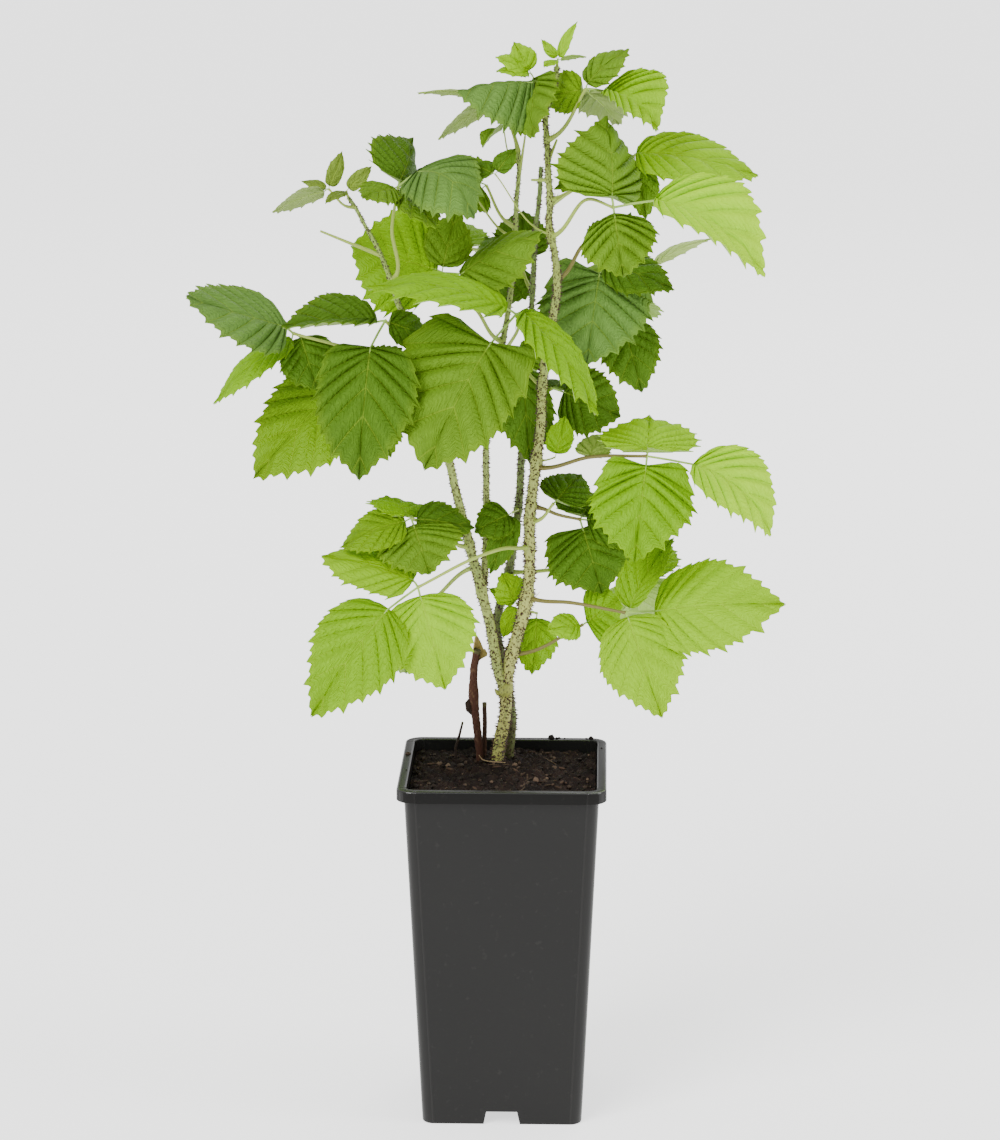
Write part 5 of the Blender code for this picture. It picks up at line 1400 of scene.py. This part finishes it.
def litter(half, is_chip, chance):
    """A flat bark chip, or a thin bent fibre, lying on the compost."""
    x, y = chance.uniform(-half + 6, half - 6, 2)
    angle = chance.uniform(0, 2 * np.pi)
    long = chance.uniform(2.5, 6) if is_chip else chance.uniform(6, 17)
    run = np.linspace(-0.5, 0.5, 5 if is_chip else 9)
    bend = 0 if is_chip else chance.uniform(-4, 4)
    px = x + run * long * np.cos(angle) - bend * run**2 * np.sin(angle)
    py = y + run * long * np.sin(angle) + bend * run**2 * np.cos(angle)
    px = px.clip(-half + 1.5, half - 1.5)
    py = py.clip(-half + 1.5, half - 1.5)
    pz = ground(px, py) + (0.9 if is_chip else 1.3) + chance.uniform(-0.4, 1.6) * run
    path = np.stack([px, py, pz], -1)
    thick = chance.uniform(0.45, 0.95) if is_chip else chance.uniform(0.12, 0.3)
    radii = thick * np.array((0.35, 0.9, 1, 0.8, 0.3)) if is_chip else np.full(9, thick)
    shade = chance.uniform(0.25, 1.0)
    tint = np.array((0.075, 0.042, 0.026) if is_chip else (0.13, 0.085, 0.05)) * shade
    return tube(path, radii, 6, 1, tint)


def make_floor(paint):
    """A wide level floor."""
    reach = 60.0
    mesh = bpy.data.meshes.new("floor")
    corners = [(-reach, -reach, 0), (reach, -reach, 0), (reach, reach, 0), (-reach, reach, 0)]
    mesh.from_pydata(corners, [], [(0, 1, 2, 3)])
    mesh.materials.append(paint)
    floor = bpy.data.objects.new("floor", mesh)
    bpy.context.scene.collection.objects.link(floor)


def make_camera():
    """The photograph's view: its place, tilt and focal length, with the picture's middle a little aside."""
    camera = bpy.data.cameras.new("camera")
    camera.sensor_width = 36.0
    camera.lens = FOCAL_PIXELS * camera.sensor_width / max(PICTURE)
    camera.shift_x = (PICTURE[0] / 2 - MIDDLE_PIXEL) / max(PICTURE)
    camera.clip_end = 100.0
    viewer = bpy.data.objects.new("camera", camera)
    viewer.location = (EYE + POT_MIDDLE) * MM
    viewer.rotation_euler = (np.radians(90 - LOOKS_DOWN), 0, np.radians(TURNED))
    bpy.context.scene.collection.objects.link(viewer)
    bpy.context.scene.camera = viewer


def hang(lamp, place, aim):
    """Sets a lamp at a place, turned to shine on aim."""
    holder = bpy.data.objects.new(lamp.name, lamp)
    holder.location = place
    way = unit(np.array(aim) - np.array(place))
    holder.rotation_euler = (np.arccos(-way[2]), 0, np.arctan2(way[1], way[0]) - np.pi / 2)
    bpy.context.scene.collection.objects.link(holder)


def make_light(name, place, aim, size, watts):
    """A square soft lamp."""
    lamp = bpy.data.lights.new(name, "AREA")
    lamp.size = size
    lamp.energy = watts
    hang(lamp, place, aim)


def make_studio():
    """A pale even sky and three large soft lamps."""
    world = bpy.data.worlds.new("studio")
    world.use_nodes = True
    sky = world.node_tree.nodes["Background"]
    sky.inputs["Color"].default_value = (1.0, 1.0, 1.0, 1)
    sky.inputs["Strength"].default_value = 0.75
    bpy.context.scene.world = world
    sun = bpy.data.lights.new("key", "SUN")
    sun.energy = 2.8
    sun.angle = np.radians(35)
    hang(sun, (-1.1, -1.5, 1.9), (0, 0, 0.4))
    make_light("fill", (3.4, -0.9, 1.7), (0, 0, 0.3), 1.4, 54)
    make_light("rear", (0.8, 2.6, 2.5), (0, 0, 0.45), 1.8, 36)


def write_size():
    """Brings the scene's placements up to date."""
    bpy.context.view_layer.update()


with open("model.json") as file:
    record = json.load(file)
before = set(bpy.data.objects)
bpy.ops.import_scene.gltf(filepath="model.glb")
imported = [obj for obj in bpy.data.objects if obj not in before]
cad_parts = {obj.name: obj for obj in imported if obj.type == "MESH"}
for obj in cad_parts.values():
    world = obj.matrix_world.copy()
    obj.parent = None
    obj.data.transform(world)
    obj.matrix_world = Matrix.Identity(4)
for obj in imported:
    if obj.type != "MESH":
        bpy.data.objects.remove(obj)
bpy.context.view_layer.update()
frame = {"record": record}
pot_low, pot_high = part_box("pot")
POT_MIDDLE = np.array((pot_low[0] + pot_high[0], pot_low[1] + pot_high[1], 0)) / 2 / MM

stalk = stalk_skin()
make_camera()
make_studio()
make_floor(floor_paint())
make_pot([pot_plastic("pot_wall", 0.2, 0.3), pot_plastic("pot_band", 0.08, 0.4), pot_plastic("pot_lip", 0.9, 0.12)])
make_soil(soil_earth(), bits())
make_canes(cane_bark(), prickle_skin(), stalk)
make_dead_wood(dead_bark(), bits())
make_leaves([leaf_upper(), leaf_under(), stalk])
write_size()
